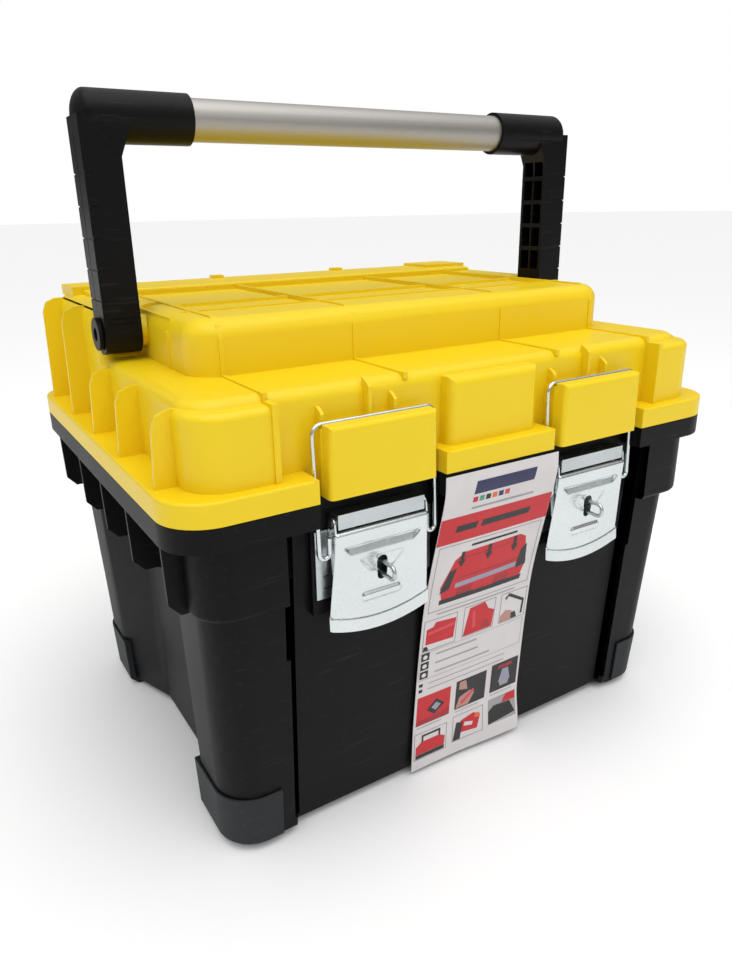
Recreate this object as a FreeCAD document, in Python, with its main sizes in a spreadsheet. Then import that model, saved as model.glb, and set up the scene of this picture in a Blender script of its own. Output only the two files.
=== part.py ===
import FreeCAD, Part
import math
import os

import Sketcher
from FreeCAD import Placement, Rotation, Vector

# Toolbox with a lift-out tray: black tub, yellow hinged lid, folding tube handle, two draw
# latches and corner feet.  +X is right, -Y is the front and +Z is up, with Z = 0 under the feet.

document = FreeCAD.newDocument("toolbox")
sheet = document.addObject("Spreadsheet::Sheet", "Sizes")


# ---------------------------------------------------------------- sizes and their formulas

class Size:
    """A number that remembers the sheet formula it comes from."""

    def __init__(self, value, formula=None):
        self.value = float(value)
        self.formula = formula or f"({float(value):.6g})"

    def __add__(self, other):
        other = as_size(other)
        return Size(self.value + other.value, f"({self.formula} + {other.formula})")

    def __sub__(self, other):
        other = as_size(other)
        return Size(self.value - other.value, f"({self.formula} - {other.formula})")

    def __mul__(self, other):
        other = as_size(other)
        return Size(self.value * other.value, f"({self.formula} * {other.formula})")

    def __truediv__(self, other):
        other = as_size(other)
        return Size(self.value / other.value, f"({self.formula} / {other.formula})")

    def __neg__(self):
        return Size(0) - self

    def __radd__(self, other):
        return as_size(other) + self

    def __rsub__(self, other):
        return as_size(other) - self

    def __rmul__(self, other):
        return as_size(other) * self


def as_size(number):
    return number if isinstance(number, Size) else Size(number)


def dimension(name, value):
    """Write one driving dimension into the sheet and give back its Size."""
    dimension.row += 1
    sheet.set(f"A{dimension.row}", name)
    sheet.set(f"B{dimension.row}", str(value))
    sheet.setAlias(f"B{dimension.row}", name)
    return Size(value, f"Sizes.{name}")


dimension.row = 0

wall = dimension("wall_thickness", 3)
rim_half_width = dimension("rim_half_width", 225)
rim_half_depth = dimension("rim_half_depth", 175)
rim_corner = dimension("rim_corner_radius", 30)
parting_height = dimension("parting_height", 252)
band_height = dimension("band_height", 15)
parting_gap = dimension("parting_gap", 0.4)

tub_floor = dimension("tub_floor_height", 7)
tub_top_half_width = dimension("tub_top_half_width", 207)
tub_base_half_width = dimension("tub_base_half_width", 200)
tub_top_half_depth = dimension("tub_top_half_depth", 165)
tub_base_half_depth = dimension("tub_base_half_depth", 151)
waist_half_width = dimension("waist_half_width", 180)
waist_half_length = dimension("waist_half_length", 45)
post_half_length = dimension("post_half_length", 100)
panel_half_width = dimension("panel_half_width", 150)
panel_setback = dimension("panel_setback", 6)
post_corner = dimension("post_corner_radius", 25)
corner_block_base = dimension("corner_block_base", 188)
corner_block_proud = dimension("corner_block_proud", 4)
side_rib_reach = dimension("side_rib_reach", 221)
side_rib_thickness = dimension("side_rib_thickness", 3)
side_rib_base = dimension("side_rib_base", 187)

foot_top = dimension("foot_top_height", 46)
foot_proud = dimension("foot_proud", 1.6)
foot_inner_edge = dimension("foot_inner_edge", 164)
foot_length = dimension("foot_length", 62)
foot_bevel = dimension("foot_bevel", 7)

lid_half_width = dimension("lid_half_width", 205)
lid_front = dimension("lid_front_depth", 155)
lid_back = dimension("lid_back_depth", 160)
shoulder_height = dimension("shoulder_height", 315.5)
tier_height = dimension("tier_height", 350)
tier_front = dimension("tier_front_depth", 95)
tier_half_width = dimension("tier_half_width", 177)
saddle_back = dimension("saddle_back", 20)
elbow_dome = dimension("arm_elbow_dome", 9)
line_depth = dimension("arm_line_depth", 0.7)
cross_strap_depth = dimension("cross_strap_depth", 50)
ridge_front = dimension("rear_ridge_front", 98)
panel_sink = dimension("tier_panel_sink", 2)
slot_sink = dimension("tier_slot_sink", 4.6)
tier_edge = dimension("tier_edge_radius", 12)
shoulder_edge = dimension("shoulder_edge_radius", 8)

latch_centre = dimension("latch_centre", 92.2)
lug_half_width = dimension("lug_half_width", 38.6)
lug_front = dimension("lug_front_depth", 175.4)
lug_back = dimension("lug_back_depth", 165.4)
lug_height = dimension("lug_height", 296)
lug_step = dimension("lug_step_height", 293.6)
latch_face = dimension("latch_face_depth", 160)
latch_bay_half = dimension("latch_bay_half_width", 45.5)
block_front = dimension("block_front_depth", 166)
block_height = dimension("block_height", 311)

hinge_depth = dimension("hinge_depth", 178)
hinge_radius = dimension("hinge_knuckle_radius", 7)
hinge_pin_radius = dimension("hinge_pin_radius", 2.5)
hinge_place = dimension("hinge_place", 110)
hinge_half_width = dimension("hinge_half_width", 30)
running_gap = dimension("running_gap", 0.06)
side_gap = dimension("side_gap", 0.5)

pivot_depth = dimension("handle_pivot_depth", 3)
pivot_height = dimension("handle_pivot_height", 334)
arm_inner = dimension("arm_inner_face", 182)
arm_outer = dimension("arm_outer_face", 206.5)
arm_radius = dimension("arm_round_radius", 14)
tube_height = dimension("tube_height", 468)
tube_radius = dimension("tube_radius", 13.5)
tube_wall = dimension("tube_wall", 1.5)
sleeve_radius = dimension("sleeve_radius", 16)
sleeve_mouth = dimension("sleeve_mouth", 132)
bolt_radius = dimension("pivot_bolt_radius", 5)

lever_pivot_depth = dimension("lever_pivot_depth", 165.4)
lever_pivot_height = dimension("lever_pivot_height", 234)
lever_top_half = dimension("lever_top_half_width", 34.2)
lever_bottom_half = dimension("lever_bottom_half_width", 37.3)
lever_sheet = dimension("lever_sheet_thickness", 1.2)
lever_pin_radius = dimension("lever_pin_radius", 2)
wire_radius = dimension("wire_radius", 1.5)
bail_half_width = dimension("bail_half_width", 43.2)
bar_depth = dimension("bail_bar_depth", 163.3)
bar_height = dimension("bail_bar_height", 295.6)
staple_height = dimension("staple_height", 198)
staple_wire = dimension("staple_wire_radius", 1.4)

tray_half_width = dimension("tray_half_width", 164)
tray_half_depth = dimension("tray_half_depth", 144)
tray_base = dimension("tray_base_height", 192)
tray_height = dimension("tray_height", 50)
tray_wall = dimension("tray_wall", 2.5)
tray_handle_radius = dimension("tray_handle_radius", 5)
tray_handle_reach = dimension("tray_handle_reach", 48)

card_half_width = dimension("card_half_width", 51)
card_thickness = dimension("card_thickness", 0.6)

document.recompute()


# ---------------------------------------------------------------- modelling helpers

def tie(item, name, value):
    """Bind one property to its sheet formula."""
    item.setExpression(name, as_size(value).formula)


def tie_base(item, x, y, z):
    for letter, value in zip("xyz", (x, y, z)):
        tie(item, f"Placement.Base.{letter}", value)


def block(name, x, y, z):
    """A box between pairs of coordinates."""
    item = document.addObject("Part::Box", name)
    for side, (low, high) in zip(("Length", "Width", "Height"), (x, y, z)):
        tie(item, side, high - low if isinstance(high, Size) else as_size(high) - low)
    tie_base(item, x[0], y[0], z[0])
    return item


TURNS = {
    "x": Rotation(Vector(0, 1, 0), 90),
    "y": Rotation(Vector(1, 0, 0), -90),
    "z": Rotation(),
}


def rod(name, axis, centre, radius, span):
    """A cylinder along an axis: centre holds the other two coordinates, span the ends."""
    item = document.addObject("Part::Cylinder", name)
    tie(item, "Radius", radius)
    tie(item, "Height", as_size(span[1]) - span[0])
    item.Placement = Placement(Vector(), TURNS[axis])
    base = list(centre)
    base.insert("xyz".index(axis), span[0])
    tie_base(item, *base)
    return item


def join(name, *items):
    item = document.addObject("Part::MultiFuse", name)
    item.Shapes = list(items)
    item.Refine = True
    return item


def cut(name, base, *tools):
    """Take the tools away one after another."""
    for tool in tools:
        item = document.addObject("Part::Cut", name)
        item.Base = base
        item.Tool = tool
        base = item
    base.Refine = True
    return base


def mirrored(name, source, normal=(1, 0, 0)):
    item = document.addObject("Part::Mirroring", name)
    item.Source = source
    item.Normal = Vector(*normal)
    return item


def middle(edge):
    return edge.valueAt((edge.FirstParameter + edge.LastParameter) / 2)


def origin_plane(body, role):
    return next(item for item in body.Origin.OriginFeatures if item.Role == role)


def with_arcs(points):
    """Split each (u, v, radius) corner of a right angle into the two ends of its arc."""
    corners = []
    radii = []
    count = len(points)
    for index, point in enumerate(points):
        u, v = as_size(point[0]), as_size(point[1])
        if len(point) == 2:
            corners.append((u, v))
            radii.append(None)
            continue
        radius = as_size(point[2])
        ends = []
        for neighbour in (points[index - 1], points[(index + 1) % count]):
            along_u = as_size(neighbour[0]).value - u.value
            along_v = as_size(neighbour[1]).value - v.value
            if abs(along_u) > abs(along_v):
                ends.append((u + math.copysign(1, along_u) * radius, v))
            else:
                ends.append((u, v + math.copysign(1, along_v) * radius))
        corners.extend(ends)
        radii.extend((radius, None))
    return corners, radii


def arc_edge(start, end, previous, radius):
    """A quarter circle that leaves the line from previous to start smoothly."""
    heading = (start - previous).normalize()
    chord = end - start
    side = Vector(-heading.y, heading.x, 0)
    side = side if side.dot(chord) > 0 else -side
    centre = start + side * radius
    crown = centre + ((start + end) / 2 - centre).normalize() * radius
    return Part.ArcOfCircle(start, crown, end), side.dot(Vector(-heading.y, heading.x, 0)) > 0


def outline(body, name, plane, offset, points):
    """A closed sketch through corners whose coordinates are tied to the sheet."""
    sketch = body.newObject("Sketcher::SketchObject", name)
    sketch.AttachmentSupport = [(origin_plane(body, f"{plane}_Plane"), "")]
    sketch.MapMode = "FlatFace"
    tie(sketch, "AttachmentOffset.Base.z", offset)
    corners, radii = with_arcs(points)
    places = [Vector(u.value, v.value, 0) for u, v in corners]
    count = len(places)
    heads = []
    tails = []
    for index in range(count):
        start, end = places[index], places[(index + 1) % count]
        if radii[index] is None:
            sketch.addGeometry(Part.LineSegment(start, end))
            anticlockwise = True
        else:
            edge, anticlockwise = arc_edge(start, end, places[index - 1], radii[index].value)
            sketch.addGeometry(edge)
        heads.append(1 if anticlockwise else 2)
        tails.append(2 if anticlockwise else 1)
    for index in range(count):
        following = (index + 1) % count
        sketch.addConstraint(Sketcher.Constraint("Coincident", index, tails[index],
                                                 following, heads[following]))
        if radii[index] is not None:
            number = sketch.addConstraint(
                Sketcher.Constraint("Radius", index, radii[index].value))
            sketch.setExpression(f"Constraints[{number}]", radii[index].formula)
    for index, corner in enumerate(corners):
        for kind, axis, value in zip(("DistanceX", "DistanceY"), (-2, -1), corner):
            if abs(value.value) < 1e-9:
                sketch.addConstraint(
                    Sketcher.Constraint("PointOnObject", index, heads[index], axis))
                continue
            number = sketch.addConstraint(
                Sketcher.Constraint(kind, -1, 1, index, heads[index], value.value))
            sketch.setExpression(f"Constraints[{number}]", value.formula)
    return sketch


def plate(name, plane, points, low, high):
    """A body padded from an outline, between two coordinates square to its plane."""
    body = document.addObject("PartDesign::Body", name)
    start = -as_size(high) if plane == "XZ" else low
    sketch = outline(body, f"{name}_outline", plane, start, points)
    pad = body.newObject("PartDesign::Pad", f"{name}_pad")
    pad.Profile = sketch
    tie(pad, "Length", as_size(high) - low)
    return body


def loft(name, lower, lower_points, upper, upper_points):
    """A body whose plan changes evenly from one height to another."""
    body = document.addObject("PartDesign::Body", name)
    first = outline(body, f"{name}_foot", "XY", lower, lower_points)
    second = outline(body, f"{name}_head", "XY", upper, upper_points)
    solid = body.newObject("PartDesign::AdditiveLoft", f"{name}_loft")
    solid.Profile = second
    solid.Sections = [first]
    solid.Ruled = True
    return body


def soften(body, name, radius, chosen):
    """A fillet feature in a body, on the edges that chosen(edge) picks."""
    document.recompute()
    tip = body.Tip
    fillet = body.newObject("PartDesign::Fillet", name)
    edges = [f"Edge{number}" for number, edge in enumerate(tip.Shape.Edges, 1) if chosen(edge)]
    fillet.Base = (tip, edges)
    tie(fillet, "Radius", radius)
    return body


def upright_corner(x_limit, y_limit):
    """Picks the upright edges outside the given distances from the middle."""
    def chosen(edge):
        place = middle(edge)
        tall = abs(edge.tangentAt(edge.FirstParameter).z) > 0.9
        return tall and abs(place.x) > x_limit and abs(place.y) > y_limit
    return chosen


def rectangle(half_width, front, back):
    return [(-half_width, -front), (half_width, -front), (half_width, back), (-half_width, back)]


def in_front(distance):
    return -as_size(distance)


# ---------------------------------------------------------------- tub

def tub_plan(half_width, half_depth, inset):
    """The tub's plan: corner posts, set-back front and rear panels, waisted sides."""
    side = half_width - inset
    end = half_depth - inset
    panel_edge = panel_half_width - inset
    panel = half_depth - panel_setback - inset
    waist = waist_half_width - inset
    quarter = [
        (panel_edge, panel), (panel_edge + 3, end), (side, end, post_corner - inset),
        (side, post_half_length), (waist, waist_half_length),
    ]
    right_front = [(u, -v, *radius) for u, v, *radius in quarter]
    right_back = list(reversed(quarter))
    left_back = [(-u, v, *radius) for u, v, *radius in quarter]
    left_front = [(-u, -v, *radius) for u, v, *radius in reversed(quarter)]
    return right_front + right_back + left_back + left_front


def make_tub():
    """One moulding: lofted tub, hollow rim band, corner blocks, side ribs, hinge knuckles."""
    band_base = parting_height - band_height
    base_plan = (tub_base_half_width, tub_base_half_depth)
    top_plan = (tub_top_half_width, tub_top_half_depth)

    outer = loft("tub_outer", tub_floor, tub_plan(*base_plan, Size(0)),
                 parting_height, tub_plan(*top_plan, Size(0)))
    inner = loft("tub_inner", tub_floor + wall, tub_plan(*base_plan, wall),
                 parting_height + 1, tub_plan(*top_plan, wall))

    band = plate("tub_band", "XY", rectangle(rim_half_width, rim_half_depth, rim_half_depth),
                 band_base, parting_height)
    soften(band, "tub_band_corners", rim_corner, upright_corner(200, 150))
    channel = plate("tub_channel", "XY",
                    rectangle(rim_half_width - wall, rim_half_depth - wall, rim_half_depth - wall),
                    band_base - 1, parting_height - wall)
    soften(channel, "tub_channel_corners", rim_corner - wall, upright_corner(200, 150))
    hollow_band = cut("tub_hollow_band", band, channel)

    bays = []
    closers = []
    pads = []
    for side in (-1, 1):
        middle_x = side * latch_centre
        bays.append(block("tub_bay", (middle_x - latch_bay_half, middle_x + latch_bay_half),
                          (in_front(rim_half_depth + 1), in_front(latch_face)),
                          (band_base - 1, parting_height + 1)))
        pads.append(block("tub_latch_pad",
                          (middle_x - latch_bay_half, middle_x + latch_bay_half),
                          (in_front(latch_face), in_front(tub_base_half_depth)),
                          (Size(172), parting_height)))
        for edge in (-1, 1):
            near = middle_x + edge * latch_bay_half
            far = near + edge * wall
            span = (near, far) if edge > 0 else (far, near)
            closers.append(block("tub_bay_end", span,
                                 (in_front(rim_half_depth), in_front(tub_base_half_depth)),
                                 (band_base, parting_height)))
    open_band = cut("tub_open_band", hollow_band, *bays)

    corner_blocks = []
    for x_side in (-1, 1):
        for y_side in (-1, 1):
            points = [(x_side * (panel_half_width + 4), y_side * post_half_length),
                      (x_side * (panel_half_width + 4),
                       y_side * (tub_top_half_depth + corner_block_proud)),
                      (x_side * (tub_top_half_width + corner_block_proud),
                       y_side * (tub_top_half_depth + corner_block_proud)),
                      (x_side * (tub_top_half_width + corner_block_proud),
                       y_side * post_half_length)]
            corner = plate("tub_corner", "XY", points, corner_block_base,
                           parting_height - wall)
            soften(corner, "tub_corner_round", post_corner, upright_corner(190, 150))
            soften(corner, "tub_corner_foot", Size(4),
                   lambda edge: edge.BoundBox.ZMax < corner_block_base.value + 0.1
                   and edge.BoundBox.YLength + edge.BoundBox.XLength > 1
                   and (abs(middle(edge).y) > 101 and abs(middle(edge).x) > 155))
            corner_blocks.append(corner)

    ribs = []
    for x_side in (-1, 1):
        for rib_place in (-137, -65, 0, 65, 137):
            points = [(x_side * 172, side_rib_base - 14), (x_side * 206, side_rib_base),
                      (x_side * (side_rib_reach - 7), side_rib_base),
                      (x_side * side_rib_reach, side_rib_base + 8),
                      (x_side * (side_rib_reach + 1), parting_height - 1),
                      (x_side * 172, parting_height - 1)]
            ribs.append(plate("tub_rib", "XZ", points, rib_place - side_rib_thickness / 2,
                              rib_place + side_rib_thickness / 2))

    knuckles = []
    notches = []
    for x_side in (-1, 1):
        centre = x_side * hinge_place
        for start, end in ((-hinge_half_width, -hinge_half_width / 3),
                           (hinge_half_width / 3, hinge_half_width)):
            knuckles.append(rod("tub_knuckle", "x", (hinge_depth, parting_height),
                                hinge_radius, (centre + start, centre + end)))
            knuckles.append(block("tub_knuckle_root", (centre + start, centre + end),
                                  (tub_top_half_depth - 6, hinge_depth + hinge_radius),
                                  (band_base, parting_height)))
        notches.append(rod("tub_pin_bore", "x", (hinge_depth, parting_height),
                           hinge_pin_radius + running_gap,
                           (centre - hinge_half_width - 1, centre + hinge_half_width + 1)))
        notches.append(rod("tub_lid_notch", "x", (hinge_depth, parting_height),
                           hinge_radius + side_gap,
                           (centre - hinge_half_width / 3 - side_gap + 0.5,
                            centre + hinge_half_width / 3 + side_gap - 0.5)))

    ledges = []
    for x_side in (-1, 1):
        points = [(x_side * (waist_half_width - 1), tray_base - 20),
                  (x_side * (waist_half_width - 1), tray_base),
                  (x_side * (tray_half_width - 12), tray_base),
                  (x_side * (tray_half_width - 12), tray_base - 4)]
        ledges.append(plate("tub_ledge", "XZ", points, Size(-36), Size(36)))

    solid = join("tub_solid", outer, open_band, *corner_blocks, *ribs, *pads, *closers,
                 *knuckles)
    hollow = cut("tub_hollow", solid, inner, *notches)
    return join("tub", hollow, *ledges)


# ---------------------------------------------------------------- corner feet

def make_foot(outer):
    """A slate grey cap under each corner: two walls and a sole, pushed on to the post."""
    base_half_width = tub_base_half_width + foot_proud
    base_half_depth = tub_base_half_depth + foot_proud
    lean = foot_top / parting_height
    top_half_width = base_half_width + lean * (tub_top_half_width - tub_base_half_width)
    top_half_depth = base_half_depth + lean * (tub_top_half_depth - tub_base_half_depth)
    near_y = foot_length

    back_edge = -base_half_depth + near_y

    def plan(half_width, half_depth, corner):
        return [(foot_inner_edge, -half_depth), (half_width, -half_depth, corner),
                (half_width, back_edge), (foot_inner_edge, back_edge)]

    corner = post_corner + foot_proud
    body = loft("foot_blank", foot_bevel, plan(base_half_width, base_half_depth, corner),
                foot_top, plan(top_half_width, top_half_depth, corner))
    sole = loft("foot_sole", Size(0), plan(base_half_width - foot_bevel,
                                           base_half_depth - foot_bevel, corner - foot_bevel),
                foot_bevel, plan(base_half_width, base_half_depth, corner))
    return cut("foot_front_right", join("foot_solid", body, sole), outer)


# ---------------------------------------------------------------- lid

def make_lid():
    """One moulding: rim band, shoulder, raised tier, latch lugs, corner blocks and ribs."""
    lid_base = parting_height + parting_gap
    band_top = parting_height + band_height

    band = plate("lid_band", "XY", rectangle(rim_half_width, rim_half_depth, rim_half_depth),
                 lid_base, band_top)
    soften(band, "lid_band_corners", rim_corner, upright_corner(200, 150))
    soften(band, "lid_band_edge", Size(2),
           lambda edge: edge.BoundBox.ZMin > band_top.value - 0.1)
    bays = []
    for side in (-1, 1):
        middle_x = side * latch_centre
        bays.append(block("lid_bay", (middle_x - latch_bay_half, middle_x + latch_bay_half),
                          (in_front(rim_half_depth + 1), in_front(lid_front)),
                          (lid_base - 1, band_top + 1)))
    open_band = cut("lid_open_band", band, *bays)

    shoulder = plate("lid_shoulder", "XY", rectangle(lid_half_width, lid_front, lid_back),
                     lid_base, shoulder_height)
    soften(shoulder, "lid_shoulder_corners", Size(22), upright_corner(190, 140))
    soften(shoulder, "lid_shoulder_edge", shoulder_edge,
           lambda edge: edge.BoundBox.ZMin > shoulder_height.value - 0.1)

    tier_points = [(-tier_half_width, -tier_front), (tier_half_width, -tier_front),
                   (tier_half_width, saddle_back), (lid_half_width, saddle_back),
                   (lid_half_width, lid_back), (-lid_half_width, lid_back),
                   (-lid_half_width, saddle_back), (-tier_half_width, saddle_back)]
    tier = plate("lid_tier", "XY", tier_points, shoulder_height - 12, tier_height)
    soften(tier, "lid_tier_corners", Size(20),
           lambda edge: abs(edge.tangentAt(edge.FirstParameter).z) > 0.9
           and not 15 < middle(edge).y < 25)
    soften(tier, "lid_tier_back_corners", Size(8),
           lambda edge: abs(edge.tangentAt(edge.FirstParameter).z) > 0.9
           and 15 < middle(edge).y < 25 and abs(middle(edge).x) > 200)
    soften(tier, "lid_tier_edge", tier_edge,
           lambda edge: edge.BoundBox.ZMin > tier_height.value - 0.1
           and (middle(edge).y < 15 or abs(middle(edge).x) < 1 and middle(edge).y > 100)
           and (abs(middle(edge).x) < 176.9 or middle(edge).y < 15))

    lugs = []
    for side in (-1, 1):
        middle_x = side * latch_centre
        span = (middle_x - lug_half_width, middle_x + lug_half_width)
        lug = plate("lid_lug", "XZ",
                    [(span[0], lid_base), (span[1], lid_base), (span[1] - 1, lug_height),
                     (span[0] + 1, lug_height)],
                    in_front(lug_front), in_front(lug_back))
        soften(lug, "lid_lug_edge", Size(3.5),
               lambda edge: edge.BoundBox.YMax < -lug_front.value + 0.1
               and edge.BoundBox.ZMax > parting_height.value + 2)
        lugs.append(lug)
        lugs.append(block("lid_lug_root", span, (in_front(lug_back), in_front(lid_front - 1)),
                          (lid_base, lug_step)))
        for place, top in ((-lug_half_width + 4, 12), (Size(-2), 24), (lug_half_width * 0.42, 14)):
            centre = middle_x + place
            points = [(in_front(lid_front - 2), lug_step - 1),
                      (in_front(lid_front + 6), lug_step - 1),
                      (in_front(lid_front + 6), lug_step + top - 5),
                      (in_front(lid_front + 4), lug_step + top - 3),
                      (in_front(lid_front - 2), lug_step + top)]
            lugs.append(plate("lid_gusset", "YZ", points, centre - 1.2, centre + 1.2))

    blocks = []
    centre_block = plate("lid_centre_block", "XZ",
                         [(Size(-38), band_top - 8), (Size(38), band_top - 8),
                          (Size(37), block_height), (Size(-37), block_height)],
                         in_front(block_front), in_front(lid_front - 4))
    soften(centre_block, "lid_centre_block_edge", Size(6),
           lambda edge: edge.BoundBox.YMax < -block_front.value + 0.1
           and edge.BoundBox.ZMax > band_top.value)
    blocks.append(centre_block)
    for x_side in (-1, 1):
        for y_side in (-1, 1):
            front = block_front * y_side if y_side < 0 else Size(168)
            points = [(x_side * 157.5, y_side * 137), (x_side * 157.5, front),
                      (x_side * (lid_half_width + 3), front),
                      (x_side * (lid_half_width + 3), y_side * 137)]
            corner = plate("lid_corner", "XY", points, band_top - 8, block_height)
            soften(corner, "lid_corner_round", Size(24), upright_corner(190, 150))
            soften(corner, "lid_corner_edge", Size(5),
                   lambda edge: edge.BoundBox.ZMin > block_height.value - 0.1
                   and (abs(middle(edge).y) > 160 or abs(middle(edge).x) > 190))
            blocks.append(corner)
        bead = block("lid_bead", (x_side * 159 - 1.8, x_side * 159 + 1.8),
                     (in_front(block_front + 1.6), in_front(lid_front - 6)),
                     (band_top - 3, block_height + 1.4))
        blocks.append(bead)

    ribs = []
    for x_side in (-1, 1):
        for rib_place in (-137, -65, 0, 65, 137):
            top = tier_height - 3 if rib_place > 20 else block_height
            points = [(x_side * 190, band_top - 5), (x_side * side_rib_reach, band_top - 5),
                      (x_side * (side_rib_reach - 2), top - 10),
                      (x_side * (side_rib_reach - 5), top - 3),
                      (x_side * (side_rib_reach - 12), top),
                      (x_side * 190, top)]
            ribs.append(plate("lid_rib", "XZ", points, rib_place - side_rib_thickness / 2,
                              rib_place + side_rib_thickness / 2))

    straps = []
    for x_side in (-1, 1):
        for place in (64.5, 159):
            centre = x_side * Size(place)
            straps.append(block("lid_strap", (centre - 1.5, centre + 1.5),
                                (in_front(lid_front), in_front(tier_front - 10)),
                                (shoulder_height - 3, shoulder_height + 1)))
            points = [(in_front(tier_front + 1), shoulder_height - 3),
                      (in_front(tier_front + 1), tier_height - 12),
                      (in_front(tier_front - 3), tier_height - 3.5),
                      (in_front(tier_front - 12), tier_height + 1),
                      (lid_back - 60, tier_height + 1),
                      (lid_back - 60, tier_height - 3), (in_front(tier_front - 20), shoulder_height)]
            straps.append(plate("lid_strap_rise", "YZ", points, centre - 1.5, centre + 1.5))

    cross_points = [(-tier_half_width - 1, shoulder_height - 3),
                    (-tier_half_width - 1, tier_height - 11),
                    (-tier_half_width + 11, tier_height + 1),
                    (tier_half_width - 11, tier_height + 1),
                    (tier_half_width + 1, tier_height - 11),
                    (tier_half_width + 1, shoulder_height - 3)]
    straps.append(plate("lid_cross_strap", "XZ", cross_points, in_front(cross_strap_depth + 1.5),
                        in_front(cross_strap_depth - 1.5)))
    ridge = plate("lid_rear_ridge", "XY",
                  [(Size(-190), ridge_front), (Size(190), ridge_front),
                   (Size(190), lid_back - 3), (Size(-190), lid_back - 3)],
                  tier_height - 2, tier_height + 3.6)
    soften(ridge, "lid_rear_ridge_edge", Size(2.5),
           lambda edge: edge.BoundBox.ZMin > tier_height.value + 3)
    straps.append(ridge)
    for x_side in (-1, 1):
        stop = (x_side * 63 - 5, x_side * 63 + 5)
        straps.append(block("lid_ridge_stop", stop, (lid_back - 14, lid_back - 4),
                            (tier_height - 2, tier_height + 6)))
        pad = (150, 198) if x_side > 0 else (-198, -150)
        straps.append(block("lid_ridge_pad", pad, (lid_back - 44, lid_back - 3),
                            (tier_height - 2, tier_height + 6)))

    bosses = []
    for x_side in (-1, 1):
        span = (tier_half_width - 8, arm_inner - 0.4)
        ends = span if x_side > 0 else (-span[1], -span[0])
        bosses.append(rod("lid_pivot_boss", "x", (pivot_depth, pivot_height), Size(11), ends))

    knuckles = []
    notches = []
    for x_side in (-1, 1):
        centre = x_side * hinge_place
        half = hinge_half_width / 3 - side_gap
        knuckles.append(rod("lid_knuckle", "x", (hinge_depth, parting_height), hinge_radius,
                            (centre - half, centre + half)))
        knuckles.append(block("lid_knuckle_root", (centre - half, centre + half),
                              (lid_back - 3, hinge_depth), (lid_base, parting_height + hinge_radius)))
        for start, end in ((-hinge_half_width - side_gap, -half - side_gap + 0.5),
                           (half + side_gap - 0.5, hinge_half_width + side_gap)):
            notches.append(rod("lid_tub_notch", "x", (hinge_depth, parting_height),
                               hinge_radius + side_gap, (centre + start, centre + end)))
        notches.append(rod("lid_pin_bore", "x", (hinge_depth, parting_height),
                           hinge_pin_radius + running_gap, (centre - half - 1, centre + half + 1)))

    hollow_low = plate("lid_hollow_low", "XY",
                       rectangle(lid_half_width - wall, lid_front - wall, lid_back - wall),
                       lid_base - 1, shoulder_height - wall)
    soften(hollow_low, "lid_hollow_low_corners", Size(19), upright_corner(190, 140))
    low_points = [(-tier_half_width + wall, -tier_front + wall),
                  (tier_half_width - wall, -tier_front + wall),
                  (tier_half_width - wall, saddle_back + wall),
                  (lid_half_width - wall, saddle_back + wall),
                  (lid_half_width - wall, lid_back - wall),
                  (-lid_half_width + wall, lid_back - wall),
                  (-lid_half_width + wall, saddle_back + wall),
                  (-tier_half_width + wall, saddle_back + wall)]
    hollow_high = plate("lid_hollow_high", "XY", low_points, shoulder_height - 14,
                        tier_height - wall)
    soften(hollow_high, "lid_hollow_high_corners", Size(17),
           lambda edge: abs(edge.tangentAt(edge.FirstParameter).z) > 0.9
           and not 15 < middle(edge).y < 28)
    soften(hollow_high, "lid_hollow_high_edge", tier_edge - wall,
           lambda edge: edge.BoundBox.ZMin > tier_height.value - wall.value - 0.1
           and middle(edge).y < 15)
    rim_channel = plate("lid_rim_channel", "XY",
                        rectangle(rim_half_width - wall, rim_half_depth - wall, rim_half_depth - wall),
                        lid_base - 1, band_top - wall)
    soften(rim_channel, "lid_rim_channel_corners", rim_corner - wall, upright_corner(200, 150))

    thin_band = cut("lid_thin_band", open_band, rim_channel)
    bay_ends = []
    for side in (-1, 1):
        for edge in (-1, 1):
            near = side * latch_centre + edge * latch_bay_half
            far = near + edge * wall
            span = (near, far) if edge > 0 else (far, near)
            bay_ends.append(block("lid_bay_end", span,
                                  (in_front(rim_half_depth), in_front(lid_front - 1)),
                                  (lid_base, band_top)))
    solid = join("lid_solid", thin_band, shoulder, tier, *lugs, *blocks, *ribs, *straps,
                 *bay_ends, *knuckles)
    lug_hollows = []
    for side in (-1, 1):
        middle_x = side * latch_centre
        lug_hollows.append(block("lid_lug_hollow",
                                 (middle_x - lug_half_width + wall,
                                  middle_x + lug_half_width - wall),
                                 (in_front(lug_front - wall), in_front(lid_front - 5)),
                                 (lid_base - 1, lug_step - wall)))
    hollow = cut("lid_hollow", solid, hollow_low, hollow_high, *lug_hollows, *notches)
    panel_reach = tier_half_width - wall + 0.5
    floors = [block("lid_panel_floor", (-panel_reach, panel_reach),
                    (in_front(cross_strap_depth), ridge_front + 2),
                    (tier_height - panel_sink - wall, tier_height - wall + 0.5))]
    panels = []
    for near, far in ((-157.2, -66.2), (-62.8, 62.8), (66.2, 157.2)):
        for low, high in ((in_front(cross_strap_depth - 1.5), Size(-2)), (Size(4), ridge_front)):
            panels.append(block("lid_panel", (Size(near), Size(far)), (low, high),
                                (tier_height - panel_sink, tier_height + 3)))
    for x_side in (-1, 1):
        slot_floor = (123, 174.5) if x_side > 0 else (-174.5, -123)
        floors.append(block("lid_slot_floor", slot_floor, (Size(3), Size(25)),
                            (tier_height - slot_sink - wall, tier_height - wall + 0.5)))
        for near, far in ((126, 157.2), (160.8, 172)):
            span = (near, far) if x_side > 0 else (-far, -near)
            panels.append(block("lid_slot", span, (Size(6), Size(21)),
                                (tier_height - slot_sink, tier_height + 0.5)))
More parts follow.
